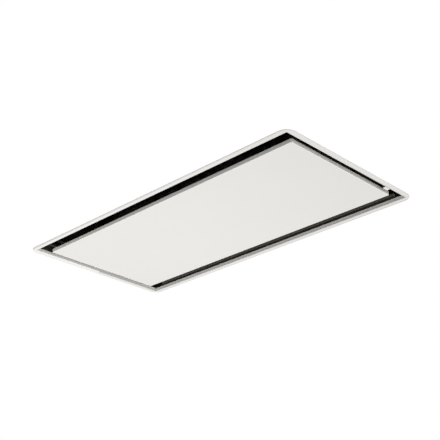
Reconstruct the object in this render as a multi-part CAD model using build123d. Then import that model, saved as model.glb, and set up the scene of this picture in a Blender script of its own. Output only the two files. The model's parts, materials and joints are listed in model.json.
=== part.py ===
from build123d import *
from math import acos, cos, degrees, hypot, radians, sin
import os

# Ceiling range hood. Origin: centre of the underside, level with the flange and the panel.
# X runs along the long side, Y across it, Z up into the ceiling. Millimetres.
# Screws, rivets and their holes are six-sided, which keeps the faces of what repeats few.

# ---- ceiling flange ----
FLANGE_LENGTH = 1000.0
FLANGE_DEPTH = 500.0
FLANGE_FACE = 16.5          # width of the trim that shows round the opening
FLANGE_SHEET = 1.5
FLANGE_CORNER = 28.0
FLANGE_EDGE = 0.5           # softened lower edge of the trim
FLANGE_BEND = 2.0           # where the trim turns up into the return
RETURN_SHOWN = 10.0         # painted return that shows below the housing
COLLAR_HEIGHT = 34.0        # how high the return laps round the housing
RIVET_HEIGHT = 26.0
RIVET_SIDE_COUNT = 3
RIVET_END_COUNT = 2
RIVET_R = 2.0
RIVET_HEAD_R = 4.0
RIVET_HEAD = 1.0
RIVET_INSET = 120.0         # from the corners of the opening

# ---- housing and filter deck ----
HOUSING_SHEET = 1.2
HOUSING_TOP = 120.0
DECK_HEIGHT = 68.0
DECK_SHEET = 1.2
CHANNEL_SHEET = 1.2         # stepped channel on each end wall
CHANNEL_END_GAP = 12.3
CHANNEL_FOOT = 1.5          # above the housing's lower edge
BEAD_DEPTH = 3.0
BEAD_LEVEL = 29.0
BEAD_FACE = 6.0
SHELF_DEPTH = 5.0
SHELF_FACE = 15.5           # up to the deck, which rests on it
CHANNEL_SLOPE = 2.5

# ---- light strips ----
LED_END_GAP = 32.3
LED_SHIFT = 5.0             # the strips stand this far off the middle, towards +X
LED_DEPTH = 6.1
LED_HEIGHT = 10.0
LED_WALL = 1.0
LED_COVER = 1.4
LED_BOARD = 1.0
LED_CHIP_COUNT = 16
LED_CHIP = 3.0
LED_CHIP_HEIGHT = 0.6
LED_FIT = 0.1
LED_MARGIN = 15.0
LED_RIB = 0.8
LED_RIB_DEPTH = 1.2

# ---- perimeter panel ----
SLOT_END = 20.3             # open gap at each short side of the panel
SLOT_SIDE = 40.6            # and along each long side
PANEL_HEIGHT = 10.2
PANEL_SHEET = 1.0
PANEL_CORNER = 3.0
PANEL_EDGE = 0.6
PANEL_LIP = 14.0
STIFFENER_SHEET = 0.8
TROUGH_COUNT = 5
TROUGH_PITCH = 48.0
TROUGH_TOP = 30.0
TROUGH_BOTTOM = 18.0

# ---- panel hinges ----
HINGE_INSET_X = 163.2       # from the panel's short side
HINGE_INSET_Y = 27.9        # from its long side
HINGE_Z = 28.0
HINGE_PIN_R = 3.0
HINGE_EYE_R = 8.0
HINGE_WEB = 3.0
HINGE_EAR = 2.0
HINGE_EAR_R = 9.0
HINGE_PLATE = 1.5
HINGE_ARM_WIDTH = 30.0
HINGE_ARM_REACH = 22.0      # from the pin, towards the panel's middle
HINGE_FOOT_WIDTH = 36.0
HINGE_FOOT_LENGTH = 40.0
PIN_HEAD_R = 4.5
PIN_HEAD = 1.5
PIN_TAIL = 2.0

# ---- panel catches ----
CATCH_INSET_X = 133.2
CATCH_INSET_Y = 27.9
CATCH_SHEET = 1.5
CATCH_WIDTH = 34.0
CATCH_FOOT = 20.0
CATCH_SHELF = 17.0
MAGNET_LENGTH = 40.0
MAGNET_WIDTH = 12.0
MAGNET_HEIGHT = 13.2
STRIKE_LENGTH = 46.0
STRIKE_WIDTH = 15.0
STRIKE_SHEET = 1.5

# ---- grease filters ----
FILTER_LENGTH = 400.0
FILTER_MARGIN = 27.0        # from the filters' edge to the hinge brackets' feet
FILTER_THICK = 9.0
FILTER_SPACING = 16.0
FILTER_SHEET = 1.0
FILTER_RIM = 12.0
FILTER_CORNER = 4.0
CUTOUT_LEDGE = 10.0         # how far the deck laps over a filter
MESH_PITCH = 15.0
MESH_THICK = 1.2
LUG_WIDTH = 24.0
LUG_SPREAD = 150.0
LUG_REACH = 4.0
LUG_BEAD_R = 2.0
LUG_TAB = 1.6
LUG_DROP = 2.7              # bead centre below the filter's upper face
RAIL_SHEET = 1.2
RAIL_FOOT = 15.0
RAIL_GAP = 0.8
HANDLE_WIDTH = 50.0
HANDLE_DROP = 8.7
HANDLE_SHEET = 1.2
HANDLE_LIP = 6.0
CLIP_WIDTH = 16.0
CLIP_SPREAD = 120.0
CLIP_SHEET = 0.6
CLIP_FOOT = 16.0
CLIP_BOW = 1.4
CLIP_LENGTH = 11.5

# ---- fan ----
FAN_Y = -30.0
TONGUE_GAP = 7.0            # from the wheel to the scroll's first turn
SCROLL_STEP = 15.0          # how much wider the scroll turns with each quarter
TONGUE_ANGLE = 50.0
SCROLL_SHEET = 1.2
THROAT_Y = 100.0
MOUNT_HEIGHT = 4.0
MOUNT_R = 6.0
MOUNT_INSET = 9.0
MOUNT_ANGLES = (80.0, 160.0, 230.0, 300.0)
INLET_MOUTH = 4.0           # how far the bellmouth opens out
INLET_FLANGE = 6.0
INLET_SHEET = 1.2
INLET_RISE = 7.0
INLET_CLEARANCE = 2.0
WHEEL_R = 100.0
WHEEL_HEIGHT = 90.0
WHEEL_GAP = 1.0             # over the bellmouth's rim
WHEEL_HEADROOM = 14.2
WHEEL_SHEET = 1.5
BLADE_COUNT = 32
BLADE_DEPTH = 16.0
BLADE_SHEET = 1.2
BLADE_LEAD = 9.0            # degrees that a blade's tip leads its root
BLADE_BOW = 3.4
RING_HEIGHT = 4.0
HUB_R = 14.0
HUB_HEIGHT = 17.0

# ---- motor ----
MOTOR_R = 52.0
MOTOR_BORE_R = 30.0
MOTOR_HOLE_R = 30.0
AIR_GAP = 0.4
BELL_HEIGHT = 13.8
STATOR_HEIGHT = 25.0
BELL_WALL = 6.0
BELL_CAVITY = 4.0
BEARING_R = 11.0
BEARING_WIDTH = 7.0
BEARING_FLOOR = 2.8
SHAFT_R = 4.0
SHAFT_TIP = 8.8             # how far the shaft reaches below the hub
MOTOR_SCREW_INSET = 12.0

# ---- motor box ----
BOX_CLEARANCE = 13.0        # round the scroll
BOX_MARGIN = 21.0           # past the outlet's plate
MOTOR_HEADROOM = 7.4
BOX_SHEET = 1.2
BOX_FOOT = 12.0
BOX_RIM = 14.0              # in-turned rim that carries the lid
LID_SCREW_COUNT = 3         # along each long edge

# ---- duct outlet ----
OUTLET_X = 0.0
OUTLET_R = 75.0
OUTLET_WALL = 1.8
COLLAR_REACH = 49.5         # past its plate
COLLAR_LIFT = 0.8           # of the plate over the box's foot
COLLAR_PLATE = 3.0
COLLAR_SIDE = 166.0
COLLAR_CORNER = 10.0
DAMPER_INSET = 23.5         # from the plate to the pin
DAMPER_PIN_R = 2.0
FLAP_SHEET = 1.0
FLAP_CLEARANCE = 1.0
KNUCKLE_R = 4.0
KNUCKLE_LENGTH = 28.0
KNUCKLE_GAP = 2.0
LEDGE_DEPTH = 2.3
LEDGE_WIDTH = 2.2

# ---- controls ----
CONTROL_GAP = 34.0          # from the motor box's foot
CONTROL_LENGTH = 180.0
CONTROL_WIDTH = 110.0
CONTROL_HEIGHT = 40.0
CONTROL_SHEET = 1.0
CONTROL_LIP = 8.0
BOARD_LENGTH = 150.0
BOARD_WIDTH = 80.0
BOARD_SHEET = 1.6
BOARD_LIFT = 7.0
POST_R = 3.0
TRANSFORMER = 32.0
TRANSFORMER_HEIGHT = 20.0
TRANSFORMER_INSET = 13.0
RELAY_COUNT = 4
RELAY_WIDTH = 15.0
RELAY_LENGTH = 19.0
RELAY_HEIGHT = 15.0
RELAY_GAP = 3.0
RELAY_INSET = 9.0
CAPACITOR_R = 8.0
CAPACITOR_HEIGHT = 16.0
CAPACITOR_INSET = 22.0
GLAND_R = 9.0
GLAND_BORE_R = 4.2
GLAND_BODY = 9.0
GLAND_CAP = 11.0
GLAND_CAP_R = 7.6
GLAND_BEVEL = 2.0
TAB_REACH = 9.0
TAB_LENGTH = 18.0
TAB_INSET = 75.5            # its middle, from the long side of the opening
TAB_HEIGHT = 9.5
TAB_EDGE = 1.0
BUTTON_WIDTH = 4.4
BUTTON_LENGTH = 12.0
BUTTON_STEP = 0.7
BUTTON_FACE = 1.6
BUTTON_FLANGE = 1.4
BUTTON_TRAVEL = 1.5
BUTTON_FIT = 0.15

# ---- ceiling hangers and screws ----
HANGER_INSET_X = 28.5       # from the housing's sides to the rod's hole
HANGER_INSET_Y = 33.5
HANGER_HOLE_R = 4.5
HANGER_SHEET = 2.0
HANGER_WIDTH = 40.0
HANGER_RISE = 30.0
HANGER_BASE = 16.0
HANGER_REACH = 15.0
HANGER_END = 17.0
SCREW_R = 2.0
SCREW_HEAD_R = 4.0
SCREW_HEAD = 2.6
SCREW_TAIL = 4.0

# ---- fits ----
REST_GAP = 0.3              # between a piece and the seat it rests against
RUNNING = 0.05              # radial, between a pin and the eye that turns on it
PRESS = 0.02                # radial, between a pin and the hole that holds it

# ---- worked out from the above: opening, panel and filters ----
OPEN_X = FLANGE_LENGTH / 2 - FLANGE_FACE
OPEN_Y = FLANGE_DEPTH / 2 - FLANGE_FACE
WALL_X = OPEN_X - HOUSING_SHEET
WALL_Y = OPEN_Y - HOUSING_SHEET
LED_LENGTH = 2 * (WALL_X - LED_END_GAP)
CHANNEL_LENGTH = 2 * (WALL_Y - CHANNEL_END_GAP)
PANEL_LENGTH = 2 * (OPEN_X - SLOT_END)
PANEL_DEPTH = 2 * (OPEN_Y - SLOT_SIDE)
PANEL_BACK = PANEL_HEIGHT - PANEL_SHEET
HINGE_X = PANEL_LENGTH / 2 - HINGE_INSET_X
HINGE_Y = PANEL_DEPTH / 2 - HINGE_INSET_Y
CATCH_X = PANEL_LENGTH / 2 - CATCH_INSET_X
CATCH_Y = CATCH_INSET_Y - PANEL_DEPTH / 2
FILTER_TOP = DECK_HEIGHT - REST_GAP
FILTER_BOTTOM = FILTER_TOP - FILTER_THICK
FILTER_X = (FILTER_LENGTH + FILTER_SPACING) / 2
FILTER_Y = HINGE_Y - HINGE_FOOT_LENGTH / 2 - FILTER_MARGIN
LUG_Y = FILTER_Y + LUG_REACH
LUG_Z = FILTER_TOP - LUG_DROP
TAB_X = OPEN_X - TAB_REACH / 2
TAB_Y = OPEN_Y - TAB_INSET
HANGER_X = OPEN_X - HANGER_INSET_X
HANGER_Y = OPEN_Y - HANGER_INSET_Y

# ---- worked out from the above: fan, motor and outlet ----
WHEEL_EYE_R = WHEEL_R - BLADE_DEPTH
INLET_R = WHEEL_EYE_R
INLET_HOLE_R = INLET_R + INLET_MOUTH
INLET_FLANGE_R = INLET_HOLE_R + INLET_FLANGE
SCROLL_BOTTOM = HOUSING_TOP + MOUNT_HEIGHT
WHEEL_BOTTOM = SCROLL_BOTTOM + INLET_RISE + WHEEL_GAP
WHEEL_TOP = WHEEL_BOTTOM + WHEEL_HEIGHT
SCROLL_TOP = WHEEL_TOP + WHEEL_HEADROOM
SCROLL_HEIGHT = SCROLL_TOP - SCROLL_BOTTOM
SCROLL_R = WHEEL_R + TONGUE_GAP
TONGUE_X = SCROLL_R * cos(radians(TONGUE_ANGLE)) - SCROLL_STEP / 2
THROAT_X = SCROLL_R + 3.5 * SCROLL_STEP
FAN_X = OUTLET_X - (TONGUE_X + THROAT_X) / 2
MOTOR_BOTTOM = SCROLL_TOP
STATOR_BOTTOM = MOTOR_BOTTOM + BELL_HEIGHT
STATOR_TOP = STATOR_BOTTOM + STATOR_HEIGHT
MOTOR_TOP = STATOR_TOP + BELL_HEIGHT
LOWER_BEARING = MOTOR_BOTTOM + BEARING_FLOOR
UPPER_BEARING = MOTOR_TOP - BEARING_FLOOR - BEARING_WIDTH
BOX_LEFT = FAN_X - SCROLL_R - 1.5 * SCROLL_STEP - BOX_CLEARANCE
BOX_Y = SCROLL_R + 2.5 * SCROLL_STEP - FAN_Y + BOX_CLEARANCE
BOX_TOP = MOTOR_TOP + MOTOR_HEADROOM + BOX_SHEET
BOX_RIGHT = OUTLET_X + COLLAR_SIDE / 2 + BOX_MARGIN
OUTLET_Z = HOUSING_TOP + BOX_SHEET + COLLAR_LIFT + COLLAR_SIDE / 2
OUTLET_BORE_R = OUTLET_R - OUTLET_WALL
COLLAR_FACE_Y = BOX_Y + COLLAR_PLATE
OUTLET_END_Y = COLLAR_FACE_Y + COLLAR_REACH
DAMPER_Y = COLLAR_FACE_Y + DAMPER_INSET
KNUCKLE_PITCH = KNUCKLE_LENGTH + KNUCKLE_GAP
CONTROL_LEFT = BOX_RIGHT + BOX_FOOT + CONTROL_GAP
CONTROL_TOP = HOUSING_TOP + CONTROL_HEIGHT


def block(x0, x1, y0, y1, z0, z1):
    middle = Pos((x0 + x1) / 2, (y0 + y1) / 2, (z0 + z1) / 2)
    return middle * Box(x1 - x0, y1 - y0, z1 - z0)


def post(x, y, z0, z1, radius):
    return Pos(x, y, (z0 + z1) / 2) * Cylinder(radius, z1 - z0)


def rod_x(x0, x1, y, z, radius):
    return Pos((x0 + x1) / 2, y, z) * Rot(0, 90, 0) * Cylinder(radius, x1 - x0)


def rod_y(x, y0, y1, z, radius):
    return Pos(x, (y0 + y1) / 2, z) * Rot(90, 0, 0) * Cylinder(radius, y1 - y0)


def hexagon(x, y, z0, z1, radius):
    return Pos(x, y, z0) * extrude(RegularPolygon(radius, 6), z1 - z0)


def hexagon_x(x0, x1, y, z, radius):
    return extrude(Plane.YZ.offset(x0) * Pos(y, z) * RegularPolygon(radius, 6), x1 - x0)


def hexagon_y(x, y0, y1, z, radius):
    return extrude(Plane.XZ.offset(-y1) * Pos(x, z) * RegularPolygon(radius, 6), y1 - y0)


def along_x(points, x0, x1):
    """A (y, z) outline run along X."""
    outline = make_face(Polyline(*points, close=True))
    return extrude(Plane.YZ.offset(x0) * outline, x1 - x0)


def along_y(points, y0, y1):
    """An (x, z) outline run along Y."""
    outline = make_face(Polyline(*points, close=True))
    return extrude(Plane.XZ.offset(-y1) * outline, y1 - y0)


def folded(path, sheet):
    """Outline of a bent sheet: the path is one face, and the other lies to its left."""
    normals = []
    for (ax, ay), (bx, by) in zip(path, path[1:]):
        length = hypot(bx - ax, by - ay)
        normals.append(((ay - by) / length, (bx - ax) / length))
    joined = [normals[0], *normals, normals[-1]]
    other = []
    for (px, py), before, after in zip(path, joined, joined[1:]):
        share = sheet / (1 + before[0] * after[0] + before[1] * after[1])
        other.append((px + share * (before[0] + after[0]), py + share * (before[1] + after[1])))
    return [*path, *reversed(other)]


def spread(count, span):
    """Places of a row of copies, evenly spaced over a span about zero."""
    return [span * (i - (count - 1) / 2) / (count - 1) for i in range(count)]


def hex_screw(x, y, seat, grip):
    """A hex screw that points down: its head stands on the seat."""
    head = hexagon(x, y, seat, seat + SCREW_HEAD, SCREW_HEAD_R)
    return head + hexagon(x, y, seat - grip, seat, SCREW_R)


def screw_hole(x, y, z0, z1):
    return hexagon(x, y, z0 - 1, z1 + 1, SCREW_R + RUNNING)


# ---- flange, housing and deck ----

def rivet_places():
    """Each rivet as (axis, side, offset along the wall)."""
    places = []
    for side in (-1, 1):
        for offset in spread(RIVET_SIDE_COUNT, 2 * (OPEN_X - RIVET_INSET)):
            places.append(("y", side, offset))
        for offset in spread(RIVET_END_COUNT, 2 * (OPEN_Y - RIVET_INSET)):
            places.append(("x", side, offset))
    return places


def wall_rod(axis, side, offset, inner, outer, radius):
    """A rod through a side wall, between two distances from the middle."""
    low, high = sorted((side * inner, side * outer))
    if axis == "x":
        return hexagon_x(low, high, offset, RIVET_HEIGHT, radius)
    return hexagon_y(offset, low, high, RIVET_HEIGHT, radius)


def rivet_holes(solid):
    for axis, side, offset in rivet_places():
        reach = OPEN_X if axis == "x" else OPEN_Y
        solid -= wall_rod(axis, side, offset, reach - 5, reach + 5, RIVET_R + PRESS)
    return solid


def ceiling_flange():
    trim = extrude(RectangleRounded(FLANGE_LENGTH, FLANGE_DEPTH, FLANGE_CORNER), FLANGE_SHEET)
    trim = fillet(trim.faces().sort_by(Axis.Z)[0].outer_wire().edges(), FLANGE_EDGE)
    outer_x = OPEN_X + FLANGE_SHEET
    outer_y = OPEN_Y + FLANGE_SHEET
    trim += block(-outer_x, outer_x, -outer_y, outer_y, 0, COLLAR_HEIGHT)
    trim -= block(-OPEN_X, OPEN_X, -OPEN_Y, OPEN_Y, -1, COLLAR_HEIGHT + 1)
    trim = fillet(trim.faces().sort_by(Axis.Z)[0].inner_wires().edges(), FLANGE_BEND)
    return rivet_holes(trim)


def flange_rivets():
    rivets = []
    for axis, side, offset in rivet_places():
        opening = OPEN_X if axis == "x" else OPEN_Y
        face = opening + FLANGE_SHEET
        shank = wall_rod(axis, side, offset, opening - HOUSING_SHEET, face, RIVET_R)
        rivets.append(shank + wall_rod(axis, side, offset, face, face + RIVET_HEAD, RIVET_HEAD_R))
    return rivets


def plenum_walls():
    """The four side walls, bent from one strip and closed by the top plate."""
    top = HOUSING_TOP - HOUSING_SHEET
    walls = block(-OPEN_X, OPEN_X, -OPEN_Y, OPEN_Y, RETURN_SHOWN, top)
    walls -= block(-WALL_X, WALL_X, -WALL_Y, WALL_Y, RETURN_SHOWN - 1, top + 1)
    return rivet_holes(walls)


def plenum_top():
    low = HOUSING_TOP - HOUSING_SHEET
    plate = block(-OPEN_X, OPEN_X, -OPEN_Y, OPEN_Y, low, HOUSING_TOP)
    plate -= post(FAN_X, FAN_Y, low - 1, HOUSING_TOP + 1, INLET_FLANGE_R + INLET_CLEARANCE)
    for x, y in [*hanger_screw_places(), *box_screw_places()]:
        plate -= screw_hole(x, y, low, HOUSING_TOP)
    return plate


def filter_deck():
    """The plate that parts the panel's room from the fan's, with a cut-out for each filter."""
    deck = block(-WALL_X, WALL_X, -WALL_Y, WALL_Y, DECK_HEIGHT, DECK_HEIGHT + DECK_SHEET)
    half_x = FILTER_LENGTH / 2 - CUTOUT_LEDGE
    half_y = FILTER_Y - CUTOUT_LEDGE
    for middle in (-FILTER_X, FILTER_X):
        deck -= block(middle - half_x, middle + half_x, -half_y, half_y,
                      DECK_HEIGHT - 1, DECK_HEIGHT + DECK_SHEET + 1)
    return deck


def side_channel(side):
    top = DECK_HEIGHT
    shelf = top - SHELF_FACE
    bead = BEAD_LEVEL + CHANNEL_SLOPE
    steps = [(0, RETURN_SHOWN + CHANNEL_FOOT), (0, BEAD_LEVEL), (BEAD_DEPTH, bead),
             (BEAD_DEPTH, bead + BEAD_FACE), (0, bead + BEAD_FACE + CHANNEL_SLOPE),
             (0, shelf - CHANNEL_SLOPE), (SHELF_DEPTH, shelf), (SHELF_DEPTH, top)]
    path = [(-WALL_X + depth, level) for depth, level in steps]
    strip = along_y(folded(path[::-1], CHANNEL_SHEET), -CHANNEL_LENGTH / 2, CHANNEL_LENGTH / 2)
    return strip if side < 0 else mirror(strip, Plane.YZ)


# ---- light strips ----

def led_bar(points, side):
    """A (depth from the wall, height) outline run along the strip, on one long wall."""
    placed = [(WALL_Y - depth, RETURN_SHOWN + height) for depth, height in points]
    bar = along_x(placed, LED_SHIFT - LED_LENGTH / 2, LED_SHIFT + LED_LENGTH / 2)
    return bar if side > 0 else mirror(bar, Plane.XZ)


def led_channel(side):
    mouth = LED_DEPTH - LED_COVER
    return led_bar([(0, 0), (mouth, 0), (mouth, LED_WALL), (LED_WALL, LED_WALL),
                    (LED_WALL, LED_HEIGHT - LED_WALL), (mouth, LED_HEIGHT - LED_WALL),
                    (mouth, LED_HEIGHT), (0, LED_HEIGHT)], side)


def led_strip(side):
    low = LED_WALL + LED_FIT
    high = LED_HEIGHT - LED_WALL - LED_FIT
    back = LED_WALL
    strip = led_bar([(back, low), (back + LED_BOARD, low), (back + LED_BOARD, high), (back, high)], side)
    face = WALL_Y - back - LED_BOARD
    middle = RETURN_SHOWN + LED_HEIGHT / 2
    for x in spread(LED_CHIP_COUNT, LED_LENGTH - 2 * LED_MARGIN):
        low_y, high_y = sorted((side * face, side * (face - LED_CHIP_HEIGHT)))
        strip += block(LED_SHIFT + x - LED_CHIP / 2, LED_SHIFT + x + LED_CHIP / 2, low_y, high_y,
                       middle - LED_CHIP / 2, middle + LED_CHIP / 2)
    return strip


def led_cover(side):
    mouth = LED_DEPTH - LED_COVER
    low = LED_WALL + LED_FIT
    high = LED_HEIGHT - LED_WALL - LED_FIT
    rib = mouth - LED_RIB_DEPTH
    return led_bar([(mouth, 0), (LED_DEPTH, 0), (LED_DEPTH, LED_HEIGHT), (mouth, LED_HEIGHT),
                    (mouth, high), (rib, high), (rib, high - LED_RIB), (mouth, high - LED_RIB),
                    (mouth, low + LED_RIB), (rib, low + LED_RIB), (rib, low), (mouth, low)], side)


# ---- perimeter panel ----

def panel_skin():
    half_x = PANEL_LENGTH / 2
    half_y = PANEL_DEPTH / 2
    tray = block(-half_x, half_x, -half_y, half_y, 0, PANEL_HEIGHT)
    tray = fillet(tray.edges().filter_by(Axis.Z), PANEL_CORNER)
    tray = fillet(tray.faces().sort_by(Axis.Z)[0].edges(), PANEL_EDGE)
    inner_x = half_x - PANEL_SHEET
    inner_y = half_y - PANEL_SHEET
    hollow = block(-inner_x, inner_x, -inner_y, inner_y, PANEL_SHEET, PANEL_BACK)
    tray -= fillet(hollow.edges().filter_by(Axis.Z), PANEL_CORNER - PANEL_SHEET)
    lip_x = half_x - PANEL_LIP
    lip_y = half_y - PANEL_LIP
    return tray - block(-lip_x, lip_x, -lip_y, lip_y, PANEL_SHEET, PANEL_HEIGHT + 1)


def panel_stiffener():
    """A backing sheet under the panel's lips, with troughs pressed down to its face."""
    half_y = PANEL_DEPTH / 2 - PANEL_SHEET - REST_GAP
    floor = PANEL_SHEET + STIFFENER_SHEET
    path = [(-half_y, PANEL_BACK)]
    for middle in spread(TROUGH_COUNT, TROUGH_PITCH * (TROUGH_COUNT - 1)):
        path += [(middle - TROUGH_TOP / 2, PANEL_BACK), (middle - TROUGH_BOTTOM / 2, floor),
                 (middle + TROUGH_BOTTOM / 2, floor), (middle + TROUGH_TOP / 2, PANEL_BACK)]
    path.append((half_y, PANEL_BACK))
    half_x = PANEL_LENGTH / 2 - PANEL_SHEET - PANEL_CORNER
    return along_x(folded(path[::-1], STIFFENER_SHEET), -half_x, half_x)


def hinge_arm(side):
    middle = side * HINGE_X
    top = PANEL_BACK + HINGE_PLATE
    arm = block(middle - HINGE_ARM_WIDTH / 2, middle + HINGE_ARM_WIDTH / 2,
                HINGE_Y - HINGE_ARM_REACH, PANEL_DEPTH / 2 - PANEL_LIP, PANEL_BACK, top)
    foot = HINGE_EYE_R * 2
    web = [(HINGE_Y - foot, top), (HINGE_Y + HINGE_EYE_R, top),
           (HINGE_Y + HINGE_EYE_R, HINGE_Z), (HINGE_Y - HINGE_EYE_R, HINGE_Z)]
    half = HINGE_WEB / 2
    arm += along_x(web, middle - half, middle + half)
    arm += rod_x(middle - half, middle + half, HINGE_Y, HINGE_Z, HINGE_EYE_R)
    return arm - rod_x(middle - half - 1, middle + half + 1, HINGE_Y, HINGE_Z, HINGE_PIN_R + RUNNING)


def ear_faces(middle):
    """The two ears of a hinge bracket as (inner, outer) places along X."""
    inner = HINGE_WEB / 2 + REST_GAP
    outer = inner + HINGE_EAR
    return [(middle - outer, middle - inner), (middle + inner, middle + outer)]


def hinge_bracket(side):
    middle = side * HINGE_X
    seat = DECK_HEIGHT - HINGE_PLATE
    bracket = block(middle - HINGE_FOOT_WIDTH / 2, middle + HINGE_FOOT_WIDTH / 2,
                    HINGE_Y - HINGE_FOOT_LENGTH / 2, HINGE_Y + HINGE_FOOT_LENGTH / 2, seat, DECK_HEIGHT)
    for x0, x1 in ear_faces(middle):
        bracket += block(x0, x1, HINGE_Y - HINGE_EAR_R, HINGE_Y + HINGE_EAR_R, HINGE_Z, seat)
        bracket += rod_x(x0, x1, HINGE_Y, HINGE_Z, HINGE_EAR_R)
        bracket -= rod_x(x0 - 0.1, x1 + 0.1, HINGE_Y, HINGE_Z, HINGE_PIN_R + PRESS)
    return bracket


def hinge_pins():
    pins = []
    for middle in (-HINGE_X, HINGE_X):
        (x0, _), (_, x1) = ear_faces(middle)
        pin = rod_x(x0, x1 + PIN_TAIL, HINGE_Y, HINGE_Z, HINGE_PIN_R)
        pins.append(pin + rod_x(x0 - PIN_HEAD, x0, HINGE_Y, HINGE_Z, PIN_HEAD_R))
    return pins


def catch_brackets():
    shelf = PANEL_BACK + STRIKE_SHEET + REST_GAP + MAGNET_HEIGHT
    path = [(CATCH_Y + CATCH_SHELF, shelf + CATCH_SHEET), (CATCH_Y, shelf + CATCH_SHEET),
            (CATCH_Y, DECK_HEIGHT), (CATCH_Y - CATCH_FOOT, DECK_HEIGHT)]
    outline = folded(path, CATCH_SHEET)
    half = CATCH_WIDTH / 2
    return [along_x(outline, x - half, x + half) for x in (-CATCH_X, CATCH_X)]


def catch_pads(length, width, z0, z1):
    """Two blocks under the catch brackets' shelves."""
    middle = CATCH_Y + CATCH_SHELF / 2
    pads = []
    for x in (-CATCH_X, CATCH_X):
        pads.append(block(x - length / 2, x + length / 2, middle - width / 2, middle + width / 2, z0, z1))
    return pads


def catch_magnets():
    foot = PANEL_BACK + STRIKE_SHEET + REST_GAP
    return catch_pads(MAGNET_LENGTH, MAGNET_WIDTH, foot, foot + MAGNET_HEIGHT)


def strike_plates():
    return catch_pads(STRIKE_LENGTH, STRIKE_WIDTH, PANEL_BACK, PANEL_BACK + STRIKE_SHEET)


# ---- grease filters ----

def filter_frame(side):
    middle = side * FILTER_X
    half_x = FILTER_LENGTH / 2
    frame = block(-half_x, half_x, -FILTER_Y, FILTER_Y, FILTER_BOTTOM, FILTER_TOP)
    frame = fillet(frame.edges().filter_by(Axis.Z), FILTER_CORNER)
    frame -= block(-half_x + FILTER_SHEET, half_x - FILTER_SHEET, -FILTER_Y + FILTER_SHEET,
                   FILTER_Y - FILTER_SHEET, FILTER_BOTTOM + FILTER_SHEET, FILTER_TOP - FILTER_SHEET)
    frame -= block(-half_x + FILTER_RIM, half_x - FILTER_RIM, -FILTER_Y + FILTER_RIM,
                   FILTER_Y - FILTER_RIM, FILTER_BOTTOM - 1, FILTER_TOP + 1)
    for x in (-LUG_SPREAD, LUG_SPREAD):
        x0 = x - LUG_WIDTH / 2
        x1 = x + LUG_WIDTH / 2
        frame += block(x0, x1, FILTER_Y - FILTER_SHEET / 2, LUG_Y, LUG_Z - LUG_TAB / 2, LUG_Z + LUG_TAB / 2)
        frame += rod_x(x0, x1, LUG_Y, LUG_Z, LUG_BEAD_R)
    return Pos(middle, 0, 0) * frame


def filter_mesh(side):
    """The expanded-metal pack, pleated across the filter."""
    low = FILTER_BOTTOM + FILTER_SHEET
    high = FILTER_TOP - FILTER_SHEET - MESH_THICK * 1.4
    span = FILTER_LENGTH - 2 * FILTER_SHEET - MESH_PITCH / 2
    count = int(span / MESH_PITCH) * 2 + 1
    path = []
    for i, x in enumerate(spread(count, (count - 1) * MESH_PITCH / 2)):
        path.append((side * FILTER_X + x, low if i % 2 else high))
    half_y = FILTER_Y - FILTER_SHEET - REST_GAP
    return along_y(folded(path, MESH_THICK), -half_y, half_y)


def filter_handle(side):
    middle = side * FILTER_X
    low = FILTER_BOTTOM - HANDLE_DROP
    path = [(-FILTER_Y + FILTER_RIM, FILTER_BOTTOM), (-FILTER_Y, FILTER_BOTTOM),
            (-FILTER_Y, low), (-FILTER_Y + HANDLE_LIP, low)]
    return along_x(folded(path, HANDLE_SHEET), middle - HANDLE_WIDTH / 2, middle + HANDLE_WIDTH / 2)


def filter_rail():
    leg = LUG_Y + LUG_BEAD_R + REST_GAP
    lip = LUG_Z - LUG_BEAD_R - RUNNING
    path = [(leg + RAIL_FOOT, DECK_HEIGHT), (leg, DECK_HEIGHT), (leg, lip), (FILTER_Y + RAIL_GAP, lip)]
    half = FILTER_X + FILTER_LENGTH / 2
    return along_x(folded(path, RAIL_SHEET), -half, half)


def filter_clips():
    face = -FILTER_Y - REST_GAP
    tip = DECK_HEIGHT - CLIP_LENGTH
    back = face - CLIP_BOW
    path = [(back, tip), (face, tip + CLIP_LENGTH / 3), (back, tip + CLIP_LENGTH * 0.7),
            (back, DECK_HEIGHT), (back - CLIP_FOOT, DECK_HEIGHT)]
    outline = folded(path, CLIP_SHEET)
    clips = []
    for middle in (-FILTER_X, FILTER_X):
        for x in (middle - CLIP_SPREAD, middle + CLIP_SPREAD):
            clips.append(along_x(outline, x - CLIP_WIDTH / 2, x + CLIP_WIDTH / 2))
    return clips


# ---- fan ----

def fan_point(radius, angle):
    return (FAN_X + radius * cos(radians(angle)), FAN_Y + radius * sin(radians(angle)))


def scroll_turn(quarter):
    """Centre and radius of one quarter turn: the centres are the corners of a small square."""
    half = SCROLL_STEP / 2
    x, y = ((-half, half), (-half, -half), (half, -half), (half, half))[quarter]
    return (FAN_X + x, FAN_Y + y), SCROLL_R + quarter * SCROLL_STEP


def scroll_point(angle, inset):
    (x, y), radius = scroll_turn(int(angle // 90))
    return (x + (radius - inset) * cos(radians(angle)), y + (radius - inset) * sin(radians(angle)))


def scroll_outline(inset, end_y):
    """The spiral from its tongue round to the straight wall, with the throat left open to end_y."""
    start = degrees(acos((TONGUE_X + inset + SCROLL_STEP / 2) / (SCROLL_R - inset)))
    edges = []
    for quarter in range(4):
        centre, radius = scroll_turn(quarter)
        first = start if quarter == 0 else 90 * quarter
        edges.append(CenterArc(centre, radius - inset, first, 90 * (quarter + 1) - first))
    left = FAN_X + TONGUE_X + inset
    right = FAN_X + THROAT_X - inset
    edges.append(Polyline(edges[-1] @ 1, (right, end_y), (left, end_y), edges[0] @ 0))
    return make_face(edges)


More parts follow.
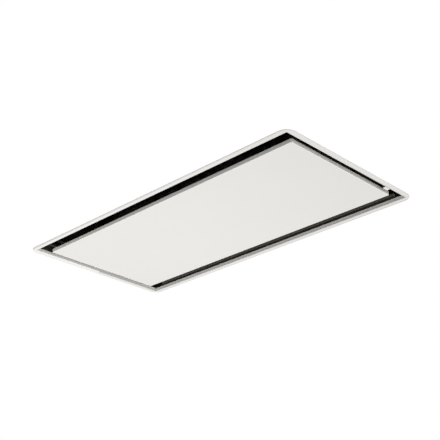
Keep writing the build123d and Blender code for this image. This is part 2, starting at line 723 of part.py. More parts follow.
def throat(inset, y0, y1, radius):
    """The loft from the scroll's square throat to the round outlet."""
    left = FAN_X + TONGUE_X + inset
    right = FAN_X + THROAT_X - inset
    low = SCROLL_BOTTOM + inset
    high = SCROLL_TOP - inset
    middle = Pos((left + right) / 2, (low + high) / 2)
    square = Plane.XZ.offset(-y0) * middle * Rectangle(right - left, high - low)
    ring = Plane.XZ.offset(-y1) * Pos(OUTLET_X, OUTLET_Z) * Circle(radius)
    return loft([square, ring])


def scroll_housing():
    end_y = BOX_Y - BOX_SHEET
    shell = Pos(0, 0, SCROLL_BOTTOM) * extrude(scroll_outline(0, THROAT_Y), SCROLL_HEIGHT)
    shell += throat(0, THROAT_Y, end_y, OUTLET_BORE_R)
    inside = extrude(scroll_outline(SCROLL_SHEET, THROAT_Y), SCROLL_HEIGHT - 2 * SCROLL_SHEET)
    shell -= Pos(0, 0, SCROLL_BOTTOM + SCROLL_SHEET) * inside
    shell -= throat(SCROLL_SHEET, THROAT_Y, end_y, OUTLET_BORE_R - SCROLL_SHEET)
    shell -= post(FAN_X, FAN_Y, SCROLL_BOTTOM - 1, SCROLL_BOTTOM + SCROLL_SHEET + 1, INLET_HOLE_R)
    shell -= post(FAN_X, FAN_Y, SCROLL_TOP - SCROLL_SHEET - 1, SCROLL_TOP + 1, MOTOR_HOLE_R)
    for x, y in motor_screw_places():
        shell -= screw_hole(x, y, SCROLL_TOP - SCROLL_SHEET, SCROLL_TOP)
    return shell


def inlet_ring():
    """The bellmouth under the wheel, turned from one bent sheet."""
    foot = SCROLL_BOTTOM
    under = foot - INLET_SHEET
    throat_top = foot + INLET_RISE
    bend = foot + INLET_HOLE_R - INLET_R - INLET_SHEET
    lip = INLET_HOLE_R - REST_GAP
    outer = INLET_R + INLET_SHEET
    shave = INLET_SHEET / 2
    with_flange = Polyline((INLET_FLANGE_R, foot), (lip, foot), (outer, bend), (outer, throat_top),
                           (INLET_R, throat_top), (INLET_R, bend - shave), (lip - shave, under),
                           (INLET_FLANGE_R, under), close=True)
    ring = revolve(Plane.XZ * make_face(with_flange), Axis.Z)
    return Pos(FAN_X, FAN_Y, 0) * ring


def rubber_mounts():
    mounts = []
    for angle in MOUNT_ANGLES:
        x, y = scroll_point(angle, MOUNT_INSET - MOUNT_R / 2)
        mounts.append(hexagon(x, y, HOUSING_TOP, SCROLL_BOTTOM, MOUNT_R))
    return mounts


def blade_outline(angle):
    """One forward-curved blade, seen along the shaft: two arcs between blunt ends."""
    root = WHEEL_EYE_R + BLADE_SHEET
    tip = WHEEL_R - BLADE_SHEET / 2
    root_half = degrees(BLADE_SHEET / 2 / root)
    tip_half = degrees(BLADE_SHEET / 2 / tip)
    lead = angle + BLADE_LEAD
    middle = (root + tip) / 2
    bow = angle + BLADE_LEAD / 2 - degrees(BLADE_BOW / middle)
    bow_half = degrees(BLADE_SHEET / 2 / middle) * 1.25
    back = ThreePointArc(fan_point(root, angle - root_half), fan_point(middle, bow - bow_half),
                         fan_point(tip, lead - tip_half))
    front = ThreePointArc(fan_point(tip, lead + tip_half), fan_point(middle, bow + bow_half),
                          fan_point(root, angle + root_half))
    return make_face([back, Line(back @ 1, front @ 0), front, Line(front @ 1, back @ 0)])


def impeller():
    top = WHEEL_TOP
    plate = post(FAN_X, FAN_Y, top - WHEEL_SHEET, top, WHEEL_R)
    hub = post(FAN_X, FAN_Y, top - HUB_HEIGHT, top, HUB_R)
    ring = post(FAN_X, FAN_Y, WHEEL_BOTTOM, WHEEL_BOTTOM + RING_HEIGHT, WHEEL_R)
    ring -= post(FAN_X, FAN_Y, WHEEL_BOTTOM - 1, WHEEL_BOTTOM + RING_HEIGHT + 1, WHEEL_EYE_R + BLADE_SHEET)
    height = top - WHEEL_SHEET / 2 - WHEEL_BOTTOM - RING_HEIGHT / 2
    foot = Pos(0, 0, WHEEL_BOTTOM + RING_HEIGHT / 2)
    pitch = 360 / BLADE_COUNT
    blades = [foot * extrude(blade_outline(pitch * i), height) for i in range(BLADE_COUNT)]
    wheel = plate + [hub, ring, *blades]
    return wheel - post(FAN_X, FAN_Y, top - HUB_HEIGHT - 1, top + 1, SHAFT_R)


# ---- motor ----

def motor_screw_places():
    return [fan_point(MOTOR_R - MOTOR_SCREW_INSET, angle) for angle in (45, 135, 225, 315)]


def motor_bell(z0, z1, opening):
    """An end bell, hollow towards the stator, with its bearing seat."""
    bell = post(FAN_X, FAN_Y, z0, z1, MOTOR_R)
    if opening > 0:
        bell -= post(FAN_X, FAN_Y, z1 - BELL_CAVITY, z1 + 1, MOTOR_R - BELL_WALL)
        bell -= post(FAN_X, FAN_Y, LOWER_BEARING, z1, BEARING_R)
        bell -= post(FAN_X, FAN_Y, z0 - 1, z1, SHAFT_R + BEARING_FLOOR)
        for x, y in motor_screw_places():
            bell -= screw_hole(x, y, z0, z0 + SCREW_TAIL - 1)
        return bell
    bell -= post(FAN_X, FAN_Y, z0 - 1, z0 + BELL_CAVITY, MOTOR_R - BELL_WALL)
    return bell - post(FAN_X, FAN_Y, z0, UPPER_BEARING + BEARING_WIDTH, BEARING_R)


def motor_bearings():
    rings = []
    for z in (LOWER_BEARING, UPPER_BEARING):
        ring = post(FAN_X, FAN_Y, z, z + BEARING_WIDTH, BEARING_R)
        rings.append(ring - post(FAN_X, FAN_Y, z - 1, z + BEARING_WIDTH + 1, SHAFT_R + RUNNING))
    return rings


def motor_stator():
    stack = post(FAN_X, FAN_Y, STATOR_BOTTOM, STATOR_TOP, MOTOR_R)
    return stack - post(FAN_X, FAN_Y, STATOR_BOTTOM - 1, STATOR_TOP + 1, MOTOR_BORE_R)


def motor_rotor():
    core = post(FAN_X, FAN_Y, STATOR_BOTTOM + 1, STATOR_TOP - 1, MOTOR_BORE_R - AIR_GAP)
    return core - post(FAN_X, FAN_Y, STATOR_BOTTOM, STATOR_TOP, SHAFT_R)


def motor_shaft():
    low = WHEEL_TOP - HUB_HEIGHT - SHAFT_TIP
    return post(FAN_X, FAN_Y, low, UPPER_BEARING + BEARING_WIDTH - REST_GAP, SHAFT_R)


def motor_screws():
    """Screws up through the scroll's top plate into the lower bell."""
    seat = SCROLL_TOP - SCROLL_SHEET
    screws = []
    for x, y in motor_screw_places():
        head = hexagon(x, y, seat - SCREW_HEAD, seat, SCREW_HEAD_R)
        screws.append(head + hexagon(x, y, seat, MOTOR_BOTTOM + SCREW_TAIL - REST_GAP, SCREW_R))
    return screws


# ---- motor box ----

def box_screw_places():
    middle = (BOX_LEFT + BOX_RIGHT) / 2
    places = []
    for y in (-BOX_Y - BOX_FOOT / 2, BOX_Y + BOX_FOOT / 2):
        for x in spread(2, (BOX_RIGHT - BOX_LEFT) * 0.9):
            places.append((middle + x, y))
    for x in (BOX_LEFT - BOX_FOOT / 2, BOX_RIGHT + BOX_FOOT / 2):
        for y in spread(2, BOX_Y):
            places.append((x, y))
    return places


def motor_box():
    """Four folded walls with an out-turned foot and an in-turned rim; the lid closes the top."""
    foot_top = HOUSING_TOP + BOX_SHEET
    rim_top = BOX_TOP - BOX_SHEET
    box = block(BOX_LEFT, BOX_RIGHT, -BOX_Y, BOX_Y, HOUSING_TOP, rim_top)
    box += block(BOX_LEFT - BOX_FOOT, BOX_RIGHT + BOX_FOOT, -BOX_Y - BOX_FOOT, BOX_Y + BOX_FOOT,
                 HOUSING_TOP, foot_top)
    box -= box_inside(BOX_SHEET, HOUSING_TOP - 1, rim_top - BOX_SHEET)
    box -= box_inside(BOX_RIM, HOUSING_TOP, BOX_TOP)
    box -= rod_y(OUTLET_X, BOX_Y - 5, BOX_Y + 1, OUTLET_Z, OUTLET_BORE_R)
    for x, y in box_screw_places():
        box -= screw_hole(x, y, HOUSING_TOP, foot_top)
    for x, y in lid_screw_places():
        box -= screw_hole(x, y, rim_top - BOX_SHEET, rim_top)
    for x, z in collar_screw_places():
        box -= hexagon_y(x, BOX_Y - 5, BOX_Y + 1, z, SCREW_R + RUNNING)
    return box


def box_inside(inset, z0, z1):
    return block(BOX_LEFT + inset, BOX_RIGHT - inset, -BOX_Y + inset, BOX_Y - inset, z0, z1)


def lid_screw_places():
    middle = (BOX_LEFT + BOX_RIGHT) / 2
    span = BOX_RIGHT - BOX_LEFT - BOX_RIM
    row = spread(LID_SCREW_COUNT, span)
    return [(middle + x, side * (BOX_Y - BOX_RIM / 2)) for side in (-1, 1) for x in row]


def motor_box_lid():
    low = BOX_TOP - BOX_SHEET
    lid = block(BOX_LEFT, BOX_RIGHT, -BOX_Y, BOX_Y, low, BOX_TOP)
    for x, y in lid_screw_places():
        lid -= screw_hole(x, y, low, BOX_TOP)
    return lid


def lid_screws():
    grip = 2 * BOX_SHEET + SCREW_TAIL
    return [hex_screw(x, y, BOX_TOP, grip) for x, y in lid_screw_places()]


def box_screws():
    grip = BOX_SHEET + HOUSING_SHEET + SCREW_TAIL
    return [hex_screw(x, y, HOUSING_TOP + BOX_SHEET, grip) for x, y in box_screw_places()]


# ---- duct outlet ----

def collar_screw_places():
    reach = COLLAR_SIDE / 2 - COLLAR_CORNER
    return [(OUTLET_X + sx * reach, OUTLET_Z + sz * reach) for sx in (-1, 1) for sz in (-1, 1)]


def outlet_collar():
    plate = RectangleRounded(COLLAR_SIDE, COLLAR_SIDE, COLLAR_CORNER)
    collar = extrude(Plane.XZ.offset(-COLLAR_FACE_Y) * Pos(OUTLET_X, OUTLET_Z) * plate, COLLAR_PLATE)
    collar += rod_y(OUTLET_X, BOX_Y, OUTLET_END_Y, OUTLET_Z, OUTLET_R)
    ledge_y = DAMPER_Y - FLAP_SHEET / 2 - REST_GAP
    collar -= rod_y(OUTLET_X, BOX_Y - 1, ledge_y - LEDGE_WIDTH, OUTLET_Z, OUTLET_BORE_R)
    collar -= rod_y(OUTLET_X, BOX_Y, OUTLET_END_Y, OUTLET_Z, OUTLET_BORE_R - LEDGE_DEPTH)
    collar -= rod_y(OUTLET_X, ledge_y, OUTLET_END_Y + 1, OUTLET_Z, OUTLET_BORE_R)
    reach = OUTLET_R + 1
    collar -= post(OUTLET_X, DAMPER_Y, OUTLET_Z - reach, OUTLET_Z + reach, DAMPER_PIN_R + PRESS)
    for x, z in collar_screw_places():
        collar -= hexagon_y(x, BOX_Y - 1, COLLAR_FACE_Y + 1, z, SCREW_R + RUNNING)
    return collar


def collar_screws():
    screws = []
    for x, z in collar_screw_places():
        head = hexagon_y(x, COLLAR_FACE_Y, COLLAR_FACE_Y + SCREW_HEAD, z, SCREW_HEAD_R)
        screws.append(head + hexagon_y(x, BOX_Y - BOX_SHEET - SCREW_TAIL, COLLAR_FACE_Y, z, SCREW_R))
    return screws


def damper_pin():
    reach = OUTLET_R - REST_GAP
    return post(OUTLET_X, DAMPER_Y, OUTLET_Z - reach, OUTLET_Z + reach, DAMPER_PIN_R)


def damper_flap(side):
    """Half a disc, hung by two of the four knuckles on the pin."""
    radius = OUTLET_BORE_R - FLAP_CLEARANCE
    y0 = DAMPER_Y - FLAP_SHEET / 2
    y1 = DAMPER_Y + FLAP_SHEET / 2
    edge = OUTLET_X + side * (KNUCKLE_R + REST_GAP)
    rim = OUTLET_X + side * (radius + 1)
    x0, x1 = sorted((edge, rim))
    flap = rod_y(OUTLET_X, y0, y1, OUTLET_Z, radius)
    flap &= block(x0, x1, y0 - 1, y1 + 1, OUTLET_Z - radius - 1, OUTLET_Z + radius + 1)
    for i, z in enumerate(spread(4, 3 * KNUCKLE_PITCH)):
        if i % 2 == (side > 0):
            low = OUTLET_Z + z - KNUCKLE_LENGTH / 2
            high = low + KNUCKLE_LENGTH
            hook0, hook1 = sorted((OUTLET_X, edge))
            flap += block(hook0, hook1, y0, y1, low, high)
            flap += post(OUTLET_X, DAMPER_Y, low, high, KNUCKLE_R)
            flap -= post(OUTLET_X, DAMPER_Y, low - 0.1, high + 0.1, DAMPER_PIN_R + RUNNING)
    return flap


# ---- controls ----

def control_box():
    right = CONTROL_LEFT + CONTROL_LENGTH
    half = CONTROL_WIDTH / 2
    tray = block(CONTROL_LEFT, right, -half, half, HOUSING_TOP, CONTROL_TOP - CONTROL_SHEET)
    tray -= block(CONTROL_LEFT + CONTROL_SHEET, right - CONTROL_SHEET, -half + CONTROL_SHEET,
                  half - CONTROL_SHEET, HOUSING_TOP + CONTROL_SHEET, CONTROL_TOP)
    for x, y in board_posts():
        tray += hexagon(x, y, HOUSING_TOP + CONTROL_SHEET / 2, HOUSING_TOP + BOARD_LIFT, POST_R)
    return tray - rod_x(right - 5, right + 1, 0, gland_z(), GLAND_BORE_R)


def control_lid():
    right = CONTROL_LEFT + CONTROL_LENGTH
    half = CONTROL_WIDTH / 2
    low = CONTROL_TOP - CONTROL_SHEET
    inner = CONTROL_SHEET + REST_GAP
    deep = inner + CONTROL_SHEET
    lip = block(CONTROL_LEFT + inner, right - inner, -half + inner, half - inner, low - CONTROL_LIP, low)
    lip -= block(CONTROL_LEFT + deep, right - deep, -half + deep, half - deep, low - CONTROL_LIP - 1, low)
    return block(CONTROL_LEFT, right, -half, half, low, CONTROL_TOP) + lip


def board_posts():
    middle = CONTROL_LEFT + CONTROL_LENGTH / 2
    reach_x = BOARD_LENGTH / 2 - POST_R * 2
    reach_y = BOARD_WIDTH / 2 - POST_R * 2
    return [(middle + sx * reach_x, sy * reach_y) for sx in (-1, 1) for sy in (-1, 1)]


def control_board():
    """The board with its transformer, relays and capacitor."""
    middle = CONTROL_LEFT + CONTROL_LENGTH / 2
    left = middle - BOARD_LENGTH / 2
    right = middle + BOARD_LENGTH / 2
    half = BOARD_WIDTH / 2
    low = HOUSING_TOP + BOARD_LIFT
    top = low + BOARD_SHEET
    board = block(left, right, -half, half, low, top)
    board += block(left + TRANSFORMER_INSET, left + TRANSFORMER_INSET + TRANSFORMER,
                   -TRANSFORMER / 2, TRANSFORMER / 2, top, top + TRANSFORMER_HEIGHT)
    for i in range(RELAY_COUNT):
        relay = right - CAPACITOR_INSET - i * (RELAY_WIDTH + RELAY_GAP)
        board += block(relay - RELAY_WIDTH, relay, half - RELAY_INSET - RELAY_LENGTH,
                       half - RELAY_INSET, top, top + RELAY_HEIGHT)
    return board + post(middle, CAPACITOR_INSET - half, top, top + CAPACITOR_HEIGHT, CAPACITOR_R)


def gland_z():
    return HOUSING_TOP + CONTROL_HEIGHT / 2


def cable_gland():
    wall = CONTROL_LEFT + CONTROL_LENGTH
    neck = wall + GLAND_BODY
    gland = hexagon_x(wall, neck, 0, gland_z(), GLAND_R)
    cap = rod_x(neck, neck + GLAND_CAP, 0, gland_z(), GLAND_CAP_R)
    gland += chamfer(cap.faces().sort_by(Axis.X)[-1].edges(), GLAND_BEVEL)
    return gland - rod_x(wall - 1, neck + GLAND_CAP + 1, 0, gland_z(), GLAND_BORE_R)


def switch_tab():
    """A small housing on the end return, open below for the button."""
    x0 = OPEN_X - TAB_REACH
    half = TAB_LENGTH / 2
    middle = TAB_X
    tab = block(x0, OPEN_X, TAB_Y - half, TAB_Y + half, 0, TAB_HEIGHT)
    tab = fillet(tab.edges().filter_by(Axis.Z).group_by(Axis.X)[0], TAB_EDGE)
    half_w = BUTTON_WIDTH / 2 + BUTTON_FIT
    half_l = BUTTON_LENGTH / 2 + BUTTON_FIT
    tab -= block(middle - half_w, middle + half_w, TAB_Y - half_l, TAB_Y + half_l, -1, TAB_HEIGHT)
    half_w += BUTTON_STEP
    half_l += BUTTON_STEP
    return tab - block(middle - half_w, middle + half_w, TAB_Y - half_l, TAB_Y + half_l,
                       BUTTON_FACE - BUTTON_FIT, TAB_HEIGHT + 1)


def switch_button():
    middle = TAB_X
    half_w = BUTTON_WIDTH / 2
    half_l = BUTTON_LENGTH / 2
    top = BUTTON_FACE + BUTTON_FLANGE
    cap = block(middle - half_w, middle + half_w, TAB_Y - half_l, TAB_Y + half_l, 0, top)
    half_w += BUTTON_STEP
    half_l += BUTTON_STEP
    return cap + block(middle - half_w, middle + half_w, TAB_Y - half_l, TAB_Y + half_l, BUTTON_FACE, top)


def switch_contact():
    """The sealed contact above the button, snug in the tab."""
    middle = TAB_X
    half_w = BUTTON_WIDTH / 2 + BUTTON_FIT + BUTTON_STEP
    half_l = BUTTON_LENGTH / 2 + BUTTON_FIT + BUTTON_STEP
    low = BUTTON_FACE + BUTTON_FLANGE + BUTTON_TRAVEL + REST_GAP
    return block(middle - half_w, middle + half_w, TAB_Y - half_l, TAB_Y + half_l, low, TAB_HEIGHT)


# ---- ceiling hangers ----

def hanger_screw_places():
    base_x = HANGER_X - HANGER_REACH - HANGER_SHEET - (HANGER_BASE - HANGER_SHEET) / 2
    places = []
    for side_x in (-1, 1):
        for side_y in (-1, 1):
            for step in (-HANGER_WIDTH / 4, HANGER_WIDTH / 4):
                places.append((side_x * base_x, side_y * HANGER_Y + step))
    return places


def hanger_brackets():
    leg = HANGER_X - HANGER_REACH
    high = HOUSING_TOP + HANGER_RISE
    path = [(leg - HANGER_BASE, HOUSING_TOP), (leg, HOUSING_TOP), (leg, high),
            (HANGER_X + HANGER_END, high)]
    outline = folded(path, HANGER_SHEET)
    brackets = []
    for side_y in (-1, 1):
        y = side_y * HANGER_Y
        bracket = along_y(outline, y - HANGER_WIDTH / 2, y + HANGER_WIDTH / 2)
        bracket -= post(HANGER_X, y, high - 1, high + HANGER_SHEET + 1, HANGER_HOLE_R)
        for x, hole_y in hanger_screw_places():
            if x > 0 and hole_y * side_y > 0:
                bracket -= screw_hole(x, hole_y, HOUSING_TOP, HOUSING_TOP + HANGER_SHEET)
        brackets += [bracket, mirror(bracket, Plane.YZ)]
    return brackets


def hanger_screws():
    grip = HANGER_SHEET + HOUSING_SHEET + SCREW_TAIL
    return [hex_screw(x, y, HOUSING_TOP + HANGER_SHEET, grip) for x, y in hanger_screw_places()]


SIDES = (("left", -1), ("right", 1))

nodes = {
    "ceiling_flange": ceiling_flange(),
    "flange_rivets": flange_rivets(),
    "plenum_walls": plenum_walls(),
    "plenum_top": plenum_top(),
    "filter_deck": filter_deck(),
    "panel_skin": panel_skin(),
    "panel_stiffener": panel_stiffener(),
    "hinge_pins": hinge_pins(),
    "catch_brackets": catch_brackets(),
    "catch_magnets": catch_magnets(),
    "strike_plates": strike_plates(),
    "filter_rail": filter_rail(),
    "filter_clips": filter_clips(),
    "scroll_housing": scroll_housing(),
    "inlet_ring": inlet_ring(),
    "rubber_mounts": rubber_mounts(),
    "impeller": impeller(),
    "motor_shaft": motor_shaft(),
    "motor_rotor": motor_rotor(),
    "motor_stator": motor_stator(),
    "motor_lower_bell": motor_bell(MOTOR_BOTTOM, STATOR_BOTTOM, 1),
    "motor_upper_bell": motor_bell(STATOR_TOP, MOTOR_TOP, -1),
    "motor_bearings": motor_bearings(),
    "motor_screws": motor_screws(),
    "motor_box": motor_box(),
    "motor_box_lid": motor_box_lid(),
    "box_screws": box_screws(),
    "lid_screws": lid_screws(),
    "outlet_collar": outlet_collar(),
    "collar_screws": collar_screws(),
    "damper_pin": damper_pin(),
    "control_box": control_box(),
    "control_lid": control_lid(),
    "control_board": control_board(),
    "cable_gland": cable_gland(),
    "switch_tab": switch_tab(),
    "switch_button": switch_button(),
    "switch_contact": switch_contact(),
    "hanger_brackets": hanger_brackets(),
    "hanger_screws": hanger_screws(),
}
for name, side in SIDES:
    nodes[f"side_channel_{name}"] = side_channel(side)
    nodes[f"hinge_arm_{name}"] = hinge_arm(side)
    nodes[f"hinge_bracket_{name}"] = hinge_bracket(side)
    nodes[f"filter_frame_{name}"] = filter_frame(side)
    nodes[f"filter_mesh_{name}"] = filter_mesh(side)
    nodes[f"filter_handle_{name}"] = filter_handle(side)
    nodes[f"damper_flap_{name}"] = damper_flap(side)
for name, side in (("rear", 1), ("front", -1)):
    nodes[f"led_channel_{name}"] = led_channel(side)
    nodes[f"led_strip_{name}"] = led_strip(side)
    nodes[f"led_cover_{name}"] = led_cover(side)

os.makedirs("parts", exist_ok=True)
for name, solids in nodes.items():
    whole = Compound(children=solids) if isinstance(solids, list) else solids
    export_step(whole, f"parts/{name}.step")
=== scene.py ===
import json
from math import cos, pi, radians, sin

import bmesh
import bpy
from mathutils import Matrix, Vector


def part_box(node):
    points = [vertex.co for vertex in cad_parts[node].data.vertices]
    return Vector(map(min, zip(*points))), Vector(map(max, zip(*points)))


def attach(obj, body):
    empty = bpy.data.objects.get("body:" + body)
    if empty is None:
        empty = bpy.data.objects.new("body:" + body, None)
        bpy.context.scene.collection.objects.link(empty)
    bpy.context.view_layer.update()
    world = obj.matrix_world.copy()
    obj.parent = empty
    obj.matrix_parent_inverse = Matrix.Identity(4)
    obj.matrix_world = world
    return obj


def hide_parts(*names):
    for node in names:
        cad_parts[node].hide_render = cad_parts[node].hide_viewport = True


# A ceiling range hood, seen from the kitchen below one of its corners.
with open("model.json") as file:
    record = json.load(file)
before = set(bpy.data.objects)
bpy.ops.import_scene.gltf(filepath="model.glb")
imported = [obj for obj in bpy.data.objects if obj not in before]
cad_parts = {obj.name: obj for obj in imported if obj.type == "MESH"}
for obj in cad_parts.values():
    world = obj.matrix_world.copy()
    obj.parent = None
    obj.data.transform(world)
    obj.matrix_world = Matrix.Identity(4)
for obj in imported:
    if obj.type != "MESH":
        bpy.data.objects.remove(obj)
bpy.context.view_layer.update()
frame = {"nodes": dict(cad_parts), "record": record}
MM = 0.001

# ---- the photograph's view ----
CAMERA_AZIMUTH = 44.637     # degrees
CAMERA_ELEVATION = -25.131
CAMERA_PLACE = (1.6896, -1.6710, -1.0976)
CAMERA_LENS = 77.57
SENSOR_WIDTH = 36.0
NEAREST = 0.05              # what the camera shows, in metres from it
FURTHEST = 100.0

# ---- finishes, and painted light and shade, as linear colours ----
WHITE_PAINT = (0.858, 0.852, 0.852)
WHITE_PLASTIC = (0.92, 0.92, 0.91)
# painted highlight on the trim's bend, near side and far returns, and on the panel's folded edge
PAINTED_HIGHLIGHT = (0.95, 0.95, 0.945)
# painted shade on the trim's far bend
PAINTED_SHADE_BEND = (0.60, 0.588, 0.565)
# painted shade on the trim's rolled outer edges
ROLLED_EDGE_SHADE = (0.69, 0.68, 0.668)
BLACK_PAINT = (0.009, 0.009, 0.0088)
# black paint made lighter on the left side channel: painted light
BLACK_CHANNEL_PAINTED_LIGHT = (0.034, 0.0315, 0.027)
# black plastic, and also the painted shade on the switch tab's sides
BLACK_PLASTIC_AND_PAINTED_SHADE = (0.035, 0.035, 0.036)
BLACKENED_STEEL = (0.012, 0.012, 0.0125)
GALVANISED = (0.60, 0.61, 0.62)
ZINC = (0.66, 0.66, 0.65)
ALUMINIUM = (0.74, 0.74, 0.75)
# filter foil painted dark as shade, with darker painted shade in its holes
FOIL_PAINTED_SHADE = (0.20, 0.20, 0.205)
FOIL_HOLES_PAINTED_SHADE = (0.07, 0.07, 0.072)
SMOKED = (0.20, 0.188, 0.160)
# painted shade on the light cover's underside
SMOKED_UNDERSIDE_SHADE = (0.006, 0.0057, 0.005)
MAGNET = (0.045, 0.043, 0.042)
RUBBER = (0.025, 0.025, 0.025)
LAMINATION = (0.34, 0.34, 0.36)
LAMINATION_GAP = (0.12, 0.12, 0.13)
SOLDER_MASK = (0.03, 0.16, 0.06)
SOLDER_MASK_DARK = (0.025, 0.14, 0.055)
TRACKS = (0.10, 0.27, 0.12)
LED_BOARD = (0.78, 0.78, 0.74)
PHOSPHOR = (0.85, 0.62, 0.12)
DUST = (0.33, 0.31, 0.28)
DUST_ROUGHNESS = 0.9

# ---- where a finish or a painted light or shade changes, each from one place to another ----
TRIM_RUN = (-450 * MM, 450 * MM)        # along the trim's long sides
TRIM_PAINTED_SHEEN = 0.65                       # share of painted sheen at the low end of the near side
# painted highlight on the bend round the opening
BEND_FACE = (1.0 * MM, 3.2 * MM)        # out from the housing's wall
BEND_HEIGHT = (1.0 * MM, 2.0 * MM)
# painted shade on the far bend
TURNED_FACE = (2.4 * MM, 4.0 * MM)
TURNED_HEIGHT = (2.2 * MM, 3.2 * MM)
# painted highlight on the upper part of the far returns
UPPER_RETURN = (5.0 * MM, 7.0 * MM)
# painted shade on the rolled long outer edges
ROLLED_FACE = (243.5 * MM, 245.5 * MM)  # from the middle line
ROLLED_SHARE = (0.35, 1.0)
JOINT_HEIGHT = 9.4 * MM
JOINT_FIT = 0.3 * MM
# painted highlight on the panel's folded edge
PANEL_EDGE = (-3.0 * MM, -1.0 * MM)     # in from the panel's sides
PANEL_FACE = (0.4 * MM, 0.8 * MM)
# where the painted shade on the switch tab's sides begins
CAP_HEIGHT = (1.4 * MM, 1.7 * MM)
COVER_LIP = (1.7 * MM, 2.3 * MM)        # painted shade, over the cover's lower edge
CHIP_FACE = (229.4 * MM, 229.6 * MM)    # from the middle line
PLATE_PITCH = 1.0 * MM                  # of the motor's stacked sheets

# ---- light and ceiling ----
WHITE = (1.0, 1.0, 1.0)
ROOM_LIGHT = 0.67           # from below, on the side that shows
ROOM_LEAN = (0.50, 0.50)    # how much brighter the room is towards +X and +Y
ROOM_LEAST = 0.02
ROOM_TINT = (1.0, 0.972, 0.915)
LAMP_TINT = (0.88, 0.93, 1.0)
WINDOW_TINT = (1.0, 0.955, 0.895)
LOFT_LIGHT = 0.62           # from above the ceiling
LOFT_FLOOR = (0.86, 0.86, 0.86)
LOFT_FLOOR_PALE = (0.89, 0.89, 0.89)
CEILING_PAINT = (0.25, 0.25, 0.25)      # as the light meets it, not as the camera sees it
CEILING_HALF = 20.0
CEILING_LIFT = 1.5 * MM     # over the flange's lower face
CEILING_GAP = 8 * MM        # how far the ceiling's cut-out clears the housing


# ---- node helpers ----

def add(tree, kind, values=None, **settings):
    """A node with its settings, and its sockets set or linked by name or number."""
    made = tree.nodes.new(kind)
    for key, value in settings.items():
        setattr(made, key, value)
    for key, value in (values or {}).items():
        if isinstance(value, bpy.types.NodeSocket):
            tree.links.new(value, made.inputs[key])
        else:
            made.inputs[key].default_value = value
    return made


def math_node(tree, operation, *values):
    return add(tree, "ShaderNodeMath", dict(enumerate(values)), operation=operation).outputs[0]


def times(tree, first, second):
    return math_node(tree, "MULTIPLY", first, second)


def swung(tree, value, reach, base):
    """A base that a value from 0 to 1 moves up and down."""
    return math_node(tree, "MULTIPLY_ADD", math_node(tree, "SUBTRACT", value, 0.5), reach, base)


def ranged(tree, value, low, high, to_low=0.0, to_high=1.0):
    """A value taken from one range to another, and held at its ends."""
    node = add(tree, "ShaderNodeMapRange", {0: value, 1: low, 2: high, 3: to_low, 4: to_high})
    return node.outputs[0]


def falling(tree, value, low, high):
    return ranged(tree, value, low, high, 1.0, 0.0)


def vector(tree, x=0.0, y=0.0, z=0.0):
    return add(tree, "ShaderNodeCombineXYZ", {0: x, 1: y, 2: z}).outputs[0]


def apart(tree, place):
    """A vector's X, Y and Z."""
    return add(tree, "ShaderNodeSeparateXYZ", {0: place}).outputs


def vector_math(tree, operation, first, second):
    return add(tree, "ShaderNodeVectorMath", {0: first, 1: second}, operation=operation).outputs[0]


def noise(tree, place, scale, detail=2.0):
    node = add(tree, "ShaderNodeTexNoise", {"Vector": place, "Scale": scale, "Detail": detail})
    return node.outputs["Fac"]


def mixed(tree, share, first, second, blend="MIX"):
    """Two colours mixed by a share."""
    values = {0: share, 6: first, 7: second}
    return add(tree, "ShaderNodeMix", values, data_type="RGBA", blend_type=blend).outputs[2]


def toned(tree, colour, tone):
    """A colour made lighter or darker."""
    grey = add(tree, "ShaderNodeCombineColor", {0: tone, 1: tone, 2: tone}).outputs[0]
    return mixed(tree, 1.0, colour, grey, "MULTIPLY")


def four(colour):
    return (*colour, 1.0)


def seen(tree):
    """One for the camera's own rays and for those that it gets by reflection or through a piece."""
    path = add(tree, "ShaderNodeLightPath").outputs
    indirect = math_node(tree, "MAXIMUM", path["Is Glossy Ray"], path["Is Transmission Ray"])
    return math_node(tree, "MAXIMUM", path["Is Camera Ray"], indirect)


# ---- shared looks ----

LOOK_IN = {"Vector": "Vector", "Colour": "Color", "Gloss": "Float", "Mottle": "Float", "Size": "Float"}
LOOK_OUT = {"Colour": "Color", "Roughness": "Float", "Height": "Float"}


def shared_group(name, inputs, outputs):
    """An empty shader group with its sockets, and its two end nodes."""
    tree = bpy.data.node_groups.new(name, "ShaderNodeTree")
    for in_out, sockets in (("INPUT", inputs), ("OUTPUT", outputs)):
        for label, kind in sockets.items():
            tree.interface.new_socket(label, in_out=in_out, socket_type="NodeSocket" + kind)
    return tree, tree.nodes.new("NodeGroupInput").outputs, tree.nodes.new("NodeGroupOutput")


def give(tree, end, results):
    for label, socket in results.items():
        tree.links.new(socket, end.inputs[label])


def coated_sheet():
    """Powder coat or moulded plastic: fine orange peel, with a slow drift in tone."""
    tree, start, end = shared_group("coated_sheet", LOOK_IN, LOOK_OUT)
    place, mottle = start["Vector"], start["Mottle"]
    peel = noise(tree, place, math_node(tree, "DIVIDE", 1.0, start["Size"]), detail=3.0)
    drift = noise(tree, place, scale=5.0, detail=3.0)
    smears = noise(tree, place, scale=60.0, detail=4.0)
    fine = times(tree, math_node(tree, "SUBTRACT", smears, 0.5), mottle)
    tone = math_node(tree, "MULTIPLY_ADD", fine, 0.35, swung(tree, drift, mottle, 1.0))
    rough = swung(tree, smears, 0.16, start["Gloss"])
    give(tree, end, {"Colour": toned(tree, start["Colour"], tone), "Roughness": rough, "Height": peel})
    return tree


